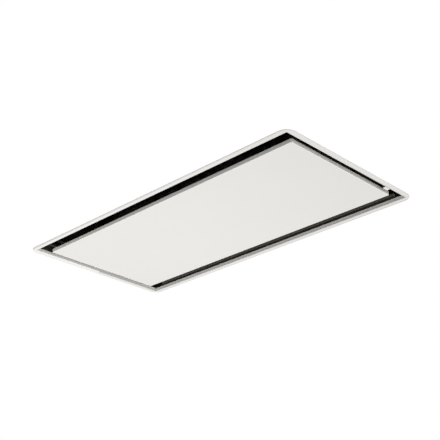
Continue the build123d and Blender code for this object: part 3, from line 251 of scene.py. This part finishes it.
def zinc_spangle():
    """Hot-dip zinc: crystal patches that each catch the light their own way."""
    tree, start, end = shared_group("zinc_spangle", LOOK_IN, LOOK_OUT)
    per_metre = math_node(tree, "DIVIDE", 1.0, start["Size"])
    bent = noise(tree, start["Vector"], scale=120.0)
    shift = times(tree, math_node(tree, "SUBTRACT", bent, 0.5), 6 * MM)
    place = vector_math(tree, "ADD", start["Vector"], vector(tree, shift, shift, shift))
    cells = add(tree, "ShaderNodeTexVoronoi", {"Vector": place, "Scale": per_metre})
    patch = add(tree, "ShaderNodeSeparateColor", {0: cells.outputs["Color"]}).outputs
    tone = ranged(tree, patch[0], 0.0, 1.0, to_low=0.84, to_high=1.06)
    tone = swung(tree, noise(tree, start["Vector"], scale=7.0), start["Mottle"], tone)
    rough = swung(tree, patch[1], 0.22, start["Gloss"])
    give(tree, end, {"Colour": toned(tree, start["Colour"], tone), "Roughness": rough, "Height": patch[2]})
    return tree


def drawn_metal():
    """Rolled or brushed metal: fine lines along the vector's own X."""
    tree, start, end = shared_group("drawn_metal", LOOK_IN, LOOK_OUT)
    stretched = vector_math(tree, "MULTIPLY", start["Vector"], (0.04, 1.0, 1.0))
    lines = noise(tree, stretched, math_node(tree, "DIVIDE", 1.0, start["Size"]), detail=4.0)
    patches = noise(tree, start["Vector"], scale=14.0)
    tone = swung(tree, patches, 0.10, swung(tree, lines, start["Mottle"], 1.0))
    rough = swung(tree, lines, 0.25, start["Gloss"])
    give(tree, end, {"Colour": toned(tree, start["Colour"], tone), "Roughness": rough, "Height": lines})
    return tree


def settled_dust():
    """A thin grey film on faces that look up, thicker in patches."""
    inputs = {"Vector": "Vector", "Colour": "Color", "Dust": "Color", "Cover": "Float"}
    tree, start, end = shared_group("settled_dust", inputs, {"Colour": "Color", "Mask": "Float"})
    up = apart(tree, add(tree, "ShaderNodeNewGeometry").outputs["Normal"])["Z"]
    level = ranged(tree, up, 0.4, 0.95)
    patches = ranged(tree, noise(tree, start["Vector"], scale=9.0, detail=5.0), 0.35, 0.7, 0.25, 1.0)
    mask = times(tree, times(tree, level, patches), start["Cover"])
    give(tree, end, {"Colour": mixed(tree, mask, start["Colour"], start["Dust"]), "Mask": mask})
    return tree


COATED = coated_sheet()
SPANGLE = zinc_spangle()
DRAWN = drawn_metal()
DUSTED = settled_dust()


# ---- materials ----

def finish(name, look, colour, gloss, size, mottle, metal=0.0, bump=0.0, dust=0.0, shine=0.5):
    """A material on one of the shared looks. Size is the grain's own size in metres, and bump its depth."""
    material = bpy.data.materials.new(name)
    material.use_nodes = True
    tree = material.node_tree
    shader = tree.nodes["Principled BSDF"]
    place = add(tree, "ShaderNodeTexCoord").outputs["Object"]
    colour = four(colour) if isinstance(colour, tuple) else colour(tree, place)
    values = {"Vector": place, "Colour": colour, "Gloss": gloss, "Mottle": mottle, "Size": size}
    made = add(tree, "ShaderNodeGroup", values, node_tree=look).outputs
    tone, rough = made["Colour"], made["Roughness"]
    if dust:
        values = {"Vector": place, "Colour": tone, "Dust": four(DUST), "Cover": dust}
        film = add(tree, "ShaderNodeGroup", values, node_tree=DUSTED).outputs
        tone = film["Colour"]
        rough = math_node(tree, "MAXIMUM", rough, times(tree, film["Mask"], DUST_ROUGHNESS))
    tree.links.new(tone, shader.inputs["Base Color"])
    tree.links.new(rough, shader.inputs["Roughness"])
    shader.inputs["Metallic"].default_value = metal
    shader.inputs["Specular IOR Level"].default_value = shine
    if bump:
        relief = add(tree, "ShaderNodeBump", {"Height": made["Height"], "Distance": bump, "Strength": 0.6})
        tree.links.new(relief.outputs[0], shader.inputs["Normal"])
    return material


def outside_of(tree, place, half_x, half_y):
    """How far a place lies outside a rectangle about the middle. Inside it, this is below zero."""
    x, y, _ = apart(tree, place)
    across = math_node(tree, "SUBTRACT", math_node(tree, "ABSOLUTE", x), half_x)
    along = math_node(tree, "SUBTRACT", math_node(tree, "ABSOLUTE", y), half_y)
    return math_node(tree, "MAXIMUM", across, along)


def trim_with_painted_light(tree, place):
    """Painted trim, with painted light and shade. The bend round the opening has a painted highlight where
    it faces the light and painted shade where it faces away, the near side has a painted sheen and the far
    returns a painted highlight on their upper part, a dark joint ends the long returns, and the long outer
    edges have painted shade where they roll away."""
    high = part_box("plenum_walls")[1]
    outside = outside_of(tree, place, high.x, high.y)
    along, across, height = apart(tree, place)
    depth = math_node(tree, "ABSOLUTE", across)
    far = math_node(tree, "GREATER_THAN", across, 0.0)
    near = math_node(tree, "SUBTRACT", 1.0, far)
    # painted sheen: the near side painted brighter towards its low end
    painted_sheen = times(tree, ranged(tree, along, *TRIM_RUN, TRIM_PAINTED_SHEEN, 0.0), near)
    painted = mixed(tree, painted_sheen, four(WHITE_PAINT), four(PAINTED_HIGHLIGHT))
    # painted highlight on the bend round the opening
    bend_highlight = times(tree, falling(tree, outside, *BEND_FACE), falling(tree, height, *BEND_HEIGHT))
    painted = mixed(tree, bend_highlight, painted, four(PAINTED_HIGHLIGHT))
    # painted highlight on the upper part of the far returns
    upper_highlight = times(tree, far, ranged(tree, height, *UPPER_RETURN))
    painted = mixed(tree, upper_highlight, painted, four(PAINTED_HIGHLIGHT))
    # painted shade on the far bend, where it faces away from the light
    turned_shade = times(tree, falling(tree, height, *TURNED_HEIGHT), falling(tree, outside, *TURNED_FACE))
    painted = mixed(tree, times(tree, far, turned_shade), painted, four(PAINTED_SHADE_BEND))
    # painted shade on the rolled long outer edges, its share changing along them
    slanted = times(tree, along, math_node(tree, "SIGN", across))
    rolled_shade = times(tree, ranged(tree, depth, *ROLLED_FACE),
                   ranged(tree, slanted, *TRIM_RUN, *ROLLED_SHARE))
    painted = mixed(tree, rolled_shade, painted, four(ROLLED_EDGE_SHADE))
    inner = math_node(tree, "COMPARE", depth, high.y, JOINT_FIT)
    joint = times(tree, inner, math_node(tree, "GREATER_THAN", height, JOINT_HEIGHT))
    return mixed(tree, joint, painted, four(BLACK_PAINT))


def panel_with_painted_highlight(tree, place):
    """Painted panel, with a painted highlight on its folded edge."""
    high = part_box("panel_skin")[1]
    edge = ranged(tree, outside_of(tree, place, high.x, high.y), *PANEL_EDGE)
    low = falling(tree, apart(tree, place)["Z"], *PANEL_FACE)
    return mixed(tree, times(tree, edge, low), four(WHITE_PAINT), four(PAINTED_HIGHLIGHT))


def cap_under_painted_shade(tree, place):
    """A white cap, with painted shade on the tab's sides above it."""
    # painted shade on the tab's sides, above the cap
    body = ranged(tree, apart(tree, place)["Z"], *CAP_HEIGHT)
    return mixed(tree, body, four(WHITE_PLASTIC), four(BLACK_PLASTIC_AND_PAINTED_SHADE))


def smoked_strip_painted_shade(tree, place):
    """Smoked light cover, with painted shade on its underside, where it faces a dark channel lip."""
    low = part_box("led_cover_rear")[0].z
    underside_shade = falling(tree, apart(tree, place)["Z"], low + COVER_LIP[0], low + COVER_LIP[1])
    return mixed(tree, underside_shade, four(SMOKED), four(SMOKED_UNDERSIDE_SHADE))


def chip_row(tree, place):
    """A white board, with phosphor on the chips that stand out from it."""
    board = ranged(tree, math_node(tree, "ABSOLUTE", apart(tree, place)["Y"]), *CHIP_FACE)
    return mixed(tree, board, four(PHOSPHOR), four(LED_BOARD))


def laminated(tree, place):
    """Thin steel sheets stacked along Z."""
    wave = math_node(tree, "SINE", times(tree, apart(tree, place)["Z"], 2 * pi / PLATE_PITCH))
    return mixed(tree, ranged(tree, wave, -0.4, 0.6), four(LAMINATION_GAP), four(LAMINATION))


def printed(tree, place):
    """Solder mask with paler tracks under it."""
    values = {"Vector": place, "Scale": 90.0, "Mortar Size": 0.03, "Mortar": four(TRACKS),
              "Color1": four(SOLDER_MASK), "Color2": four(SOLDER_MASK_DARK)}
    return add(tree, "ShaderNodeTexBrick", values).outputs["Color"]


def expanded(tree, place):
    """Fine pierced foil, painted dark as shade, with darker painted shade in the holes between the strands.
    """
    spots = add(tree, "ShaderNodeTexVoronoi", {"Vector": place, "Scale": 520.0})
    share = ranged(tree, spots.outputs["Distance"], 0.28, 0.46)
    return mixed(tree, share, four(FOIL_HOLES_PAINTED_SHADE), four(FOIL_PAINTED_SHADE))


# Each finish by the node that wears it, or else by the material slot in the record.
matt_black = finish("matt_black_channel", COATED, BLACK_PAINT, gloss=0.8, size=1.2 * MM, mottle=0.12,
                    shine=0.02)
finishes = {
    "ceiling_flange": finish("flange_powder_coat_painted_light", COATED, trim_with_painted_light, gloss=0.42, size=1.6 * MM,
                             mottle=0.03, bump=0.02 * MM, dust=0.25),
    "panel_skin": finish("panel_powder_coat_painted_highlight", COATED, panel_with_painted_highlight, gloss=0.42, size=1.6 * MM,
                         mottle=0.03, bump=0.02 * MM, dust=0.25),
    "led_channel_rear": matt_black,
    "led_channel_front": matt_black,
    # the left side channel's black is painted lighter, as the light that falls on it
    "side_channel_left": finish("satin_black_channel_painted_light", COATED, BLACK_CHANNEL_PAINTED_LIGHT, gloss=0.5, size=1.2 * MM,
                                mottle=0.12, shine=0.4),
    "white_plastic": finish("white_plastic", COATED, cap_under_painted_shade, gloss=0.36, size=0.9 * MM, mottle=0.03,
                            bump=0.02 * MM),
    "black_paint": finish("black_powder_coat", COATED, BLACK_PAINT, gloss=0.6, size=1.2 * MM,
                          mottle=0.12, dust=0.2, shine=0.12),
    "galvanised": finish("galvanised_sheet", SPANGLE, GALVANISED, gloss=0.42, size=9 * MM, mottle=0.12,
                         metal=0.85, bump=0.01 * MM, dust=0.3),
    "zinc": finish("zinc_plate", DRAWN, ZINC, gloss=0.34, size=0.6 * MM, mottle=0.12, metal=0.9,
                   bump=0.01 * MM),
    "spring_steel": finish("blackened_spring", DRAWN, BLACKENED_STEEL, gloss=0.55, size=0.5 * MM,
                           mottle=0.2, shine=0.15),
    "magnet_block": finish("magnet_block", COATED, MAGNET, gloss=0.6, size=0.8 * MM, mottle=0.3,
                           bump=0.04 * MM),
    "aluminium": finish("satin_aluminium", DRAWN, ALUMINIUM, gloss=0.38, size=0.5 * MM, mottle=0.16,
                        metal=0.9, bump=0.01 * MM),
    "filter_mesh": finish("expanded_foil", DRAWN, expanded, gloss=0.42, size=0.5 * MM, mottle=0.15,
                          metal=0.8, bump=0.05 * MM),
    "smoked_cover": finish("smoked_cover", COATED, smoked_strip_painted_shade, gloss=0.5, size=0.8 * MM, mottle=0.05,
                           shine=0.25),
    "led_board": finish("led_board", COATED, chip_row, gloss=0.4, size=0.8 * MM, mottle=0.05,
                        bump=0.01 * MM),
    "motor_steel": finish("stacked_steel", DRAWN, laminated, gloss=0.5, size=0.8 * MM, mottle=0.2,
                          metal=0.7, bump=0.03 * MM),
    "black_plastic": finish("black_plastic", COATED, BLACK_PLASTIC_AND_PAINTED_SHADE, gloss=0.45, size=0.7 * MM,
                            mottle=0.2, bump=0.03 * MM, dust=0.2),
    "circuit_board": finish("circuit_board", COATED, printed, gloss=0.35, size=0.8 * MM, mottle=0.1,
                            bump=0.01 * MM),
    "rubber": finish("mount_rubber", COATED, RUBBER, gloss=0.8, size=0.6 * MM, mottle=0.3,
                     bump=0.05 * MM),
}
slots = {part["node"]: part["material_slot"] for part in frame["record"]["subparts"]}
for name, part in frame["nodes"].items():
    part.data.materials.clear()
    part.data.materials.append(finishes.get(name) or finishes[slots[name]])


# ---- forms that repeat ----

# A hex screw, as shares of its head's height, its head's radius and its shank's radius.
WASHER_HEIGHT = 0.24
FLATS_HEIGHT = 0.84
HEXAGON = 0.93
CROWN_FOOT = 0.8
CROWN_TOP = 0.62
THREAD_ROOT = 0.76
SCREW_PITCH = 1.1 * MM

# A rivet, as shares of its head's height and radius.
RIM_HEIGHT = 0.25
DOME = 0.94

# The net in a filter.
NET_EDGE = 11.8 * MM        # how far in from the frame's edge it is held
NET_LIFT = 0.5 * MM         # over the frame's lower face
NET_LAP = 0.12              # how far neighbouring rows lap, as a share of a strand
NET_SIZES = {"Pitch Length": 12.0 * MM, "Pitch Depth": 6.6 * MM, "Strand": 1.0 * MM, "Thickness": 0.8 * MM}

TURN_SEED = 7
UP, DOWN, BACK = (0.0, 0.0, 1.0), (0.0, 0.0, -1.0), (0.0, 1.0, 0.0)
WELD = 0.001 * MM
FIT = 0.1 * MM


def form_tree(name, sizes):
    """An empty tree for a form that repeats. Its places, its sizes and its finish are its inputs."""
    tree = bpy.data.node_groups.new(name, "GeometryNodeTree")
    inputs = [("Places", "Geometry"), *((label, "Float") for label in sizes), ("Finish", "Material")]
    for label, kind in inputs:
        tree.interface.new_socket(label, in_out="INPUT", socket_type="NodeSocket" + kind)
    tree.interface.new_socket("Form", in_out="OUTPUT", socket_type="NodeSocketGeometry")
    return tree, tree.nodes.new("NodeGroupInput").outputs


def joined(tree, *forms):
    node = tree.nodes.new("GeometryNodeJoinGeometry")
    for form in forms:
        tree.links.new(form, node.inputs[0])
    return node.outputs[0]


def copied(tree, points, form, **more):
    """The form at each point."""
    values = {"Points": points, "Instance": form, **more}
    return add(tree, "GeometryNodeInstanceOnPoints", values).outputs[0]


def lifted(tree, form, height):
    values = {"Geometry": form, "Translation": vector(tree, z=height)}
    return add(tree, "GeometryNodeTransform", values).outputs[0]


def prism(tree, sides, radius, low, high):
    """A straight prism round Z, between two heights."""
    depth = math_node(tree, "SUBTRACT", high, low)
    made = add(tree, "GeometryNodeMeshCylinder", {"Vertices": sides, "Radius": radius, "Depth": depth})
    return lifted(tree, made.outputs["Mesh"], math_node(tree, "MULTIPLY_ADD", depth, 0.5, low))


def frustum(tree, sides, low_radius, high_radius, low, depth):
    made = add(tree, "GeometryNodeMeshCone", {"Vertices": sides, "Radius Top": high_radius,
                                              "Radius Bottom": low_radius, "Depth": depth})
    return lifted(tree, made.outputs["Mesh"], low)


def at_places(tree, start, form):
    """The form at each place, along that place's own way, and turned by chance about it."""
    way = add(tree, "GeometryNodeInputNamedAttribute", {"Name": "way"}, data_type="FLOAT_VECTOR")
    aim = {"Vector": way.outputs["Attribute"]}
    turn = add(tree, "FunctionNodeAlignRotationToVector", aim, axis="Z").outputs[0]
    copies = copied(tree, start["Places"], form, Rotation=turn)
    limits = {0: (0.0, 0.0, 0.0), 1: (0.0, 0.0, pi / 3), "Seed": TURN_SEED}
    chance = add(tree, "FunctionNodeRandomValue", limits, data_type="FLOAT_VECTOR").outputs[0]
    return add(tree, "GeometryNodeRotateInstances", {"Instances": copies, "Rotation": chance}).outputs[0]


def end_tree(tree, start, form):
    real = add(tree, "GeometryNodeRealizeInstances", {0: form}).outputs[0]
    values = {"Geometry": real, "Material": start["Finish"]}
    finished = add(tree, "GeometryNodeSetMaterial", values).outputs[0]
    add(tree, "NodeGroupOutput", {"Form": finished})
    return tree


def hex_screw_tree():
    """A hex screw with a washer face, a chamfered crown and a threaded shank, its seat at zero."""
    sizes = ("Head Radius", "Head Height", "Shank Radius", "Grip", "Pitch")
    tree, start = form_tree("hex_screw", sizes)
    radius, height, shank, grip, pitch = (start[label] for label in sizes)
    washer = times(tree, height, WASHER_HEIGHT)
    flats = times(tree, height, FLATS_HEIGHT)
    crown = math_node(tree, "SUBTRACT", height, flats)
    root = times(tree, shank, THREAD_ROOT)
    turns = math_node(tree, "FLOOR", math_node(tree, "DIVIDE", grip, pitch))
    step = vector(tree, z=times(tree, pitch, -1.0))
    values = {"Count": turns, "Start Location": step, "Offset": step}
    rungs = add(tree, "GeometryNodeMeshLine", values).outputs[0]
    form = joined(
        tree,
        prism(tree, 18, radius, 0.0, washer),
        prism(tree, 6, times(tree, radius, HEXAGON), washer, flats),
        frustum(tree, 18, times(tree, radius, CROWN_FOOT), times(tree, radius, CROWN_TOP), flats, crown),
        prism(tree, 10, root, times(tree, grip, -1.0), 0.0),
        copied(tree, rungs, frustum(tree, 10, root, shank, 0.0, pitch)),
    )
    return end_tree(tree, start, at_places(tree, start, form))


def domed_rivet_tree():
    """A rivet with a low dome on its seat, and its shank below."""
    sizes = ("Head Radius", "Head Height", "Shank Radius", "Grip")
    tree, start = form_tree("domed_rivet", sizes)
    radius, height, shank, grip = (start[label] for label in sizes)
    rim = times(tree, height, RIM_HEIGHT)
    wide = times(tree, radius, DOME)
    ball = add(tree, "GeometryNodeMeshUVSphere", {"Segments": 16, "Rings": 8, "Radius": 1.0})
    values = {"Geometry": ball.outputs["Mesh"],
              "Scale": vector(tree, wide, wide, math_node(tree, "SUBTRACT", height, rim))}
    dome = add(tree, "GeometryNodeTransform", values).outputs[0]
    dome = add(tree, "GeometryNodeSetShadeSmooth", {"Geometry": dome}).outputs[0]
    form = joined(
        tree,
        lifted(tree, dome, rim),
        prism(tree, 16, radius, 0.0, rim),
        prism(tree, 12, shank, times(tree, grip, -1.0), 0.0),
    )
    return end_tree(tree, start, at_places(tree, start, form))


def fitted_steps(tree, length, pitch):
    """How many half pitches fill a length, and the length of each."""
    count = math_node(tree, "ROUND", math_node(tree, "DIVIDE", length, times(tree, pitch, 0.5)))
    return count, math_node(tree, "DIVIDE", length, count)


def expanded_net_tree():
    """Slit and stretched sheet: rows of zigzag strands that meet at their points."""
    sizes = ("Length", "Depth", "Pitch Length", "Pitch Depth", "Strand", "Thickness")
    tree, start = form_tree("expanded_net", sizes)
    length, depth, pitch_x, pitch_y, strand, thickness = (start[label] for label in sizes)
    columns, step_x = fitted_steps(tree, length, pitch_x)
    rows, step_y = fitted_steps(tree, depth, pitch_y)
    values = {"Count": math_node(tree, "ADD", columns, 1.0), "Offset": vector(tree, x=step_x)}
    line = add(tree, "GeometryNodeMeshLine", values).outputs[0]
    values = {"Count": rows, "Start Location": vector(tree, y=times(tree, step_y, 0.5)),
              "Offset": vector(tree, y=step_y)}
    lines = add(tree, "GeometryNodeMeshLine", values).outputs[0]
    odd = math_node(tree, "MODULO", tree.nodes.new("GeometryNodeInputIndex").outputs[0], 2.0)
    even = math_node(tree, "SUBTRACT", 1.0, odd)
    values = {"Width": strand, "Height": thickness}
    section = add(tree, "GeometryNodeCurvePrimitiveQuadrilateral", values).outputs[0]
    reach = math_node(tree, "MULTIPLY_ADD", strand, NET_LAP, step_y)
    nets = []
    for up, chosen in ((odd, even), (even, odd)):
        rise = times(tree, math_node(tree, "SUBTRACT", up, 0.5), reach)
        values = {"Geometry": line, "Offset": vector(tree, y=rise)}
        bent = add(tree, "GeometryNodeSetPosition", values).outputs[0]
        route = add(tree, "GeometryNodeMeshToCurve", {"Mesh": bent}).outputs[0]
        values = {"Curve": route, "Profile Curve": section, "Fill Caps": True}
        zigzag = add(tree, "GeometryNodeCurveToMesh", values).outputs[0]
        nets.append(copied(tree, lines, zigzag, Selection=chosen))
    return end_tree(tree, start, copied(tree, start["Places"], joined(tree, *nets)))


def repeated(name, tree, places, ways, sizes, material, body, replaced=None):
    """The tree's form at the places, as one plain mesh that rides on a body."""
    mesh = bpy.data.meshes.new(name + "_places")
    mesh.from_pydata(places, [], [])
    way = mesh.attributes.new("way", "FLOAT_VECTOR", "POINT")
    way.data.foreach_set("vector", [number for one in ways for number in one])
    holder = bpy.data.objects.new(name + "_places", mesh)
    bpy.context.scene.collection.objects.link(holder)
    modifier = holder.modifiers.new("form", "NODES")
    modifier.node_group = tree
    values = {**sizes, "Finish": material}
    for item in tree.interface.items_tree:
        if item.in_out == "INPUT" and item.name in values:
            modifier[item.identifier] = values[item.name]
    made = bpy.data.meshes.new_from_object(holder.evaluated_get(bpy.context.evaluated_depsgraph_get()))
    bpy.data.objects.remove(holder)
    made.name = name
    piece = bpy.data.objects.new(name, made)
    bpy.context.scene.collection.objects.link(piece)
    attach(piece, body)
    if replaced:
        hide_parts(replaced)


def middle_of(form):
    return sum(form, Vector()) / len(form)


def separate_forms(node):
    """The corner points of each separate solid in a CAD node, in a fixed order."""
    welded = bmesh.new()
    welded.from_mesh(frame["nodes"][node].data)
    bmesh.ops.remove_doubles(welded, verts=welded.verts, dist=WELD)
    met, forms = set(), []
    for first in welded.verts:
        if first in met:
            continue
        met.add(first)
        ends, form = [first], []
        while ends:
            corner = ends.pop()
            form.append(corner.co.copy())
            for side in corner.link_edges:
                other = side.other_vert(corner)
                if other not in met:
                    met.add(other)
                    ends.append(other)
        forms.append(form)
    welded.free()
    return sorted(forms, key=lambda form: tuple(round(number, 4) for number in middle_of(form)))


def fastener_sizes(form, way):
    """A fastener's seat and sizes, where the way leads from its shank to its head."""
    middle = middle_of(form)
    heights = [(point - middle).dot(way) for point in form]
    radii = [(point - middle - way * height).length for point, height in zip(form, heights)]
    head = [height for height, radius in zip(heights, radii) if radius > 0.9 * max(radii)]
    seat, tail = min(head), min(heights)
    shank = max(radius for height, radius in zip(heights, radii) if height < tail + FIT)
    sizes = {"Head Radius": max(radii), "Head Height": max(heights) - seat, "Shank Radius": shank,
             "Grip": seat - tail}
    return middle + way * seat, sizes


def outward(form):
    """The way out through the side wall that a rivet stands in."""
    middle = middle_of(form)
    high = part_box("plenum_walls")[1]
    if high.x - abs(middle.x) < high.y - abs(middle.y):
        return Vector((1.0 if middle.x > 0 else -1.0, 0.0, 0.0))
    return Vector((0.0, 1.0 if middle.y > 0 else -1.0, 0.0))


def fasteners(node, tree, name, way, **more):
    """A CAD node's plain fasteners, made again with their real heads and shanks."""
    forms = separate_forms(node)
    ways = [way(form) if callable(way) else Vector(way) for form in forms]
    fitted = [fastener_sizes(form, one) for form, one in zip(forms, ways)]
    places = [place for place, _ in fitted]
    sizes = {**fitted[0][1], **more}
    repeated(name, tree, places, ways, sizes, finishes["zinc"], "root", node)


hex_screws = hex_screw_tree()
for node, way in (("box_screws", UP), ("lid_screws", UP), ("hanger_screws", UP), ("motor_screws", DOWN),
                  ("collar_screws", BACK)):
    fasteners(node, hex_screws, node.replace("screws", "hex_screws"), way, Pitch=SCREW_PITCH)
fasteners("flange_rivets", domed_rivet_tree(), "domed_rivets", outward)

# A net in the mouth of each grease filter, level with the lip of its frame.
expanded_net = expanded_net_tree()
for side in ("left", "right"):
    low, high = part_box("filter_frame_" + side)
    place = (low.x + NET_EDGE, low.y + NET_EDGE, low.z + NET_LIFT)
    sizes = {"Length": high.x - low.x - 2 * NET_EDGE, "Depth": -2 * place[1], **NET_SIZES}
    repeated("expanded_net_" + side, expanded_net, [place], [UP], sizes, finishes["aluminium"],
             "filter_" + side)


# ---- ceiling, light and camera ----

def ceiling():
    """A white ceiling with a cut-out for the housing. Above it, it is the pale floor of the loft."""
    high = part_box("plenum_walls")[1]
    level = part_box("ceiling_flange")[0].z + CEILING_LIFT
    inner_x, inner_y = high.x + CEILING_GAP, high.y + CEILING_GAP
    mesh = bpy.data.meshes.new("ceiling")
    corners = ((-1, -1), (1, -1), (1, 1), (-1, 1))
    points = [(x * CEILING_HALF, y * CEILING_HALF, level) for x, y in corners]
    points += [(x * inner_x, y * inner_y, level) for x, y in corners]
    mesh.from_pydata(points, [], [(i, (i + 1) % 4, (i + 1) % 4 + 4, i + 4) for i in range(4)])
    plane = bpy.data.objects.new("ceiling", mesh)
    bpy.context.scene.collection.objects.link(plane)
    material = bpy.data.materials.new("ceiling_paint")
    material.use_nodes = True
    tree = material.node_tree
    tree.nodes.clear()
    below = add(tree, "ShaderNodeNewGeometry").outputs["Backfacing"]
    speckle = noise(tree, add(tree, "ShaderNodeTexCoord").outputs["Object"], scale=3.0)
    pale = mixed(tree, speckle, four(LOFT_FLOOR), four(LOFT_FLOOR_PALE))
    pale = mixed(tree, below, pale, four(CEILING_PAINT))
    paint = add(tree, "ShaderNodeBsdfDiffuse", {"Color": pale}).outputs[0]
    white = add(tree, "ShaderNodeEmission", {"Color": four(WHITE), "Strength": 1.0}).outputs[0]
    shown = add(tree, "ShaderNodeMixShader", {0: times(tree, seen(tree), below), 1: paint, 2: white})
    add(tree, "ShaderNodeOutputMaterial", {"Surface": shown.outputs[0]})
    mesh.materials.append(material)


def surroundings():
    """White to the camera and in reflections; a plain soft light from below, and a weaker one above."""
    world = bpy.data.worlds.new("surroundings")
    bpy.context.scene.world = world
    world.use_nodes = True
    tree = world.node_tree
    tree.nodes.clear()
    x, y, z = apart(tree, add(tree, "ShaderNodeTexCoord").outputs["Generated"])
    below = math_node(tree, "MULTIPLY_ADD", x, ROOM_LEAN[0], ROOM_LIGHT)
    below = math_node(tree, "MULTIPLY_ADD", y, ROOM_LEAN[1], below)
    below = math_node(tree, "MAXIMUM", below, ROOM_LEAST)
    above = math_node(tree, "GREATER_THAN", z, 0.0)
    level = add(tree, "ShaderNodeMix", {0: above, 2: below, 3: LOFT_LIGHT}).outputs[0]
    light = add(tree, "ShaderNodeBackground", {"Color": four(ROOM_TINT), "Strength": level}).outputs[0]
    white = add(tree, "ShaderNodeBackground", {"Color": four(WHITE), "Strength": 1.0}).outputs[0]
    shown = add(tree, "ShaderNodeMixShader", {0: seen(tree), 1: light, 2: white})
    add(tree, "ShaderNodeOutputWorld", {"Surface": shown.outputs[0]})


def soft_lamp(name, place, target, size, watts, tint=LAMP_TINT):
    lamp = bpy.data.lights.new(name, "AREA")
    lamp.shape = "DISK"
    lamp.size = size
    lamp.energy = watts
    lamp.color = tint
    holder = bpy.data.objects.new(name, lamp)
    holder.visible_camera = False
    holder.location = place
    holder.rotation_euler = (Vector(target) - Vector(place)).to_track_quat("-Z", "Y").to_euler()
    bpy.context.scene.collection.objects.link(holder)


def camera():
    lens = bpy.data.cameras.new("viewpoint")
    lens.sensor_width = SENSOR_WIDTH
    lens.lens = CAMERA_LENS
    lens.clip_start = NEAREST
    lens.clip_end = FURTHEST
    viewer = bpy.data.objects.new("viewpoint", lens)
    azimuth, elevation = radians(CAMERA_AZIMUTH), radians(CAMERA_ELEVATION)
    back = Vector((sin(azimuth) * cos(elevation), -cos(azimuth) * cos(elevation), sin(elevation)))
    viewer.location = CAMERA_PLACE
    viewer.rotation_euler = (-back).to_track_quat("-Z", "Y").to_euler()
    bpy.context.scene.collection.objects.link(viewer)
    bpy.context.scene.camera = viewer


ceiling()
surroundings()
soft_lamp("room_light", place=(-0.15, 0.05, -1.3), target=(-0.15, 0.05, 0.0), size=0.9, watts=4.2)
soft_lamp("window_light", place=(-1.6, -2.2, -0.9), target=(-0.2, -0.1, 0.0), size=1.0, watts=19.4,
          tint=WINDOW_TINT)
soft_lamp("loft_light", place=(-1.0, -1.4, 3.2), target=(0.0, 0.0, 0.1), size=1.8, watts=60.0)
camera()
bpy.context.scene.view_settings.view_transform = "Standard"
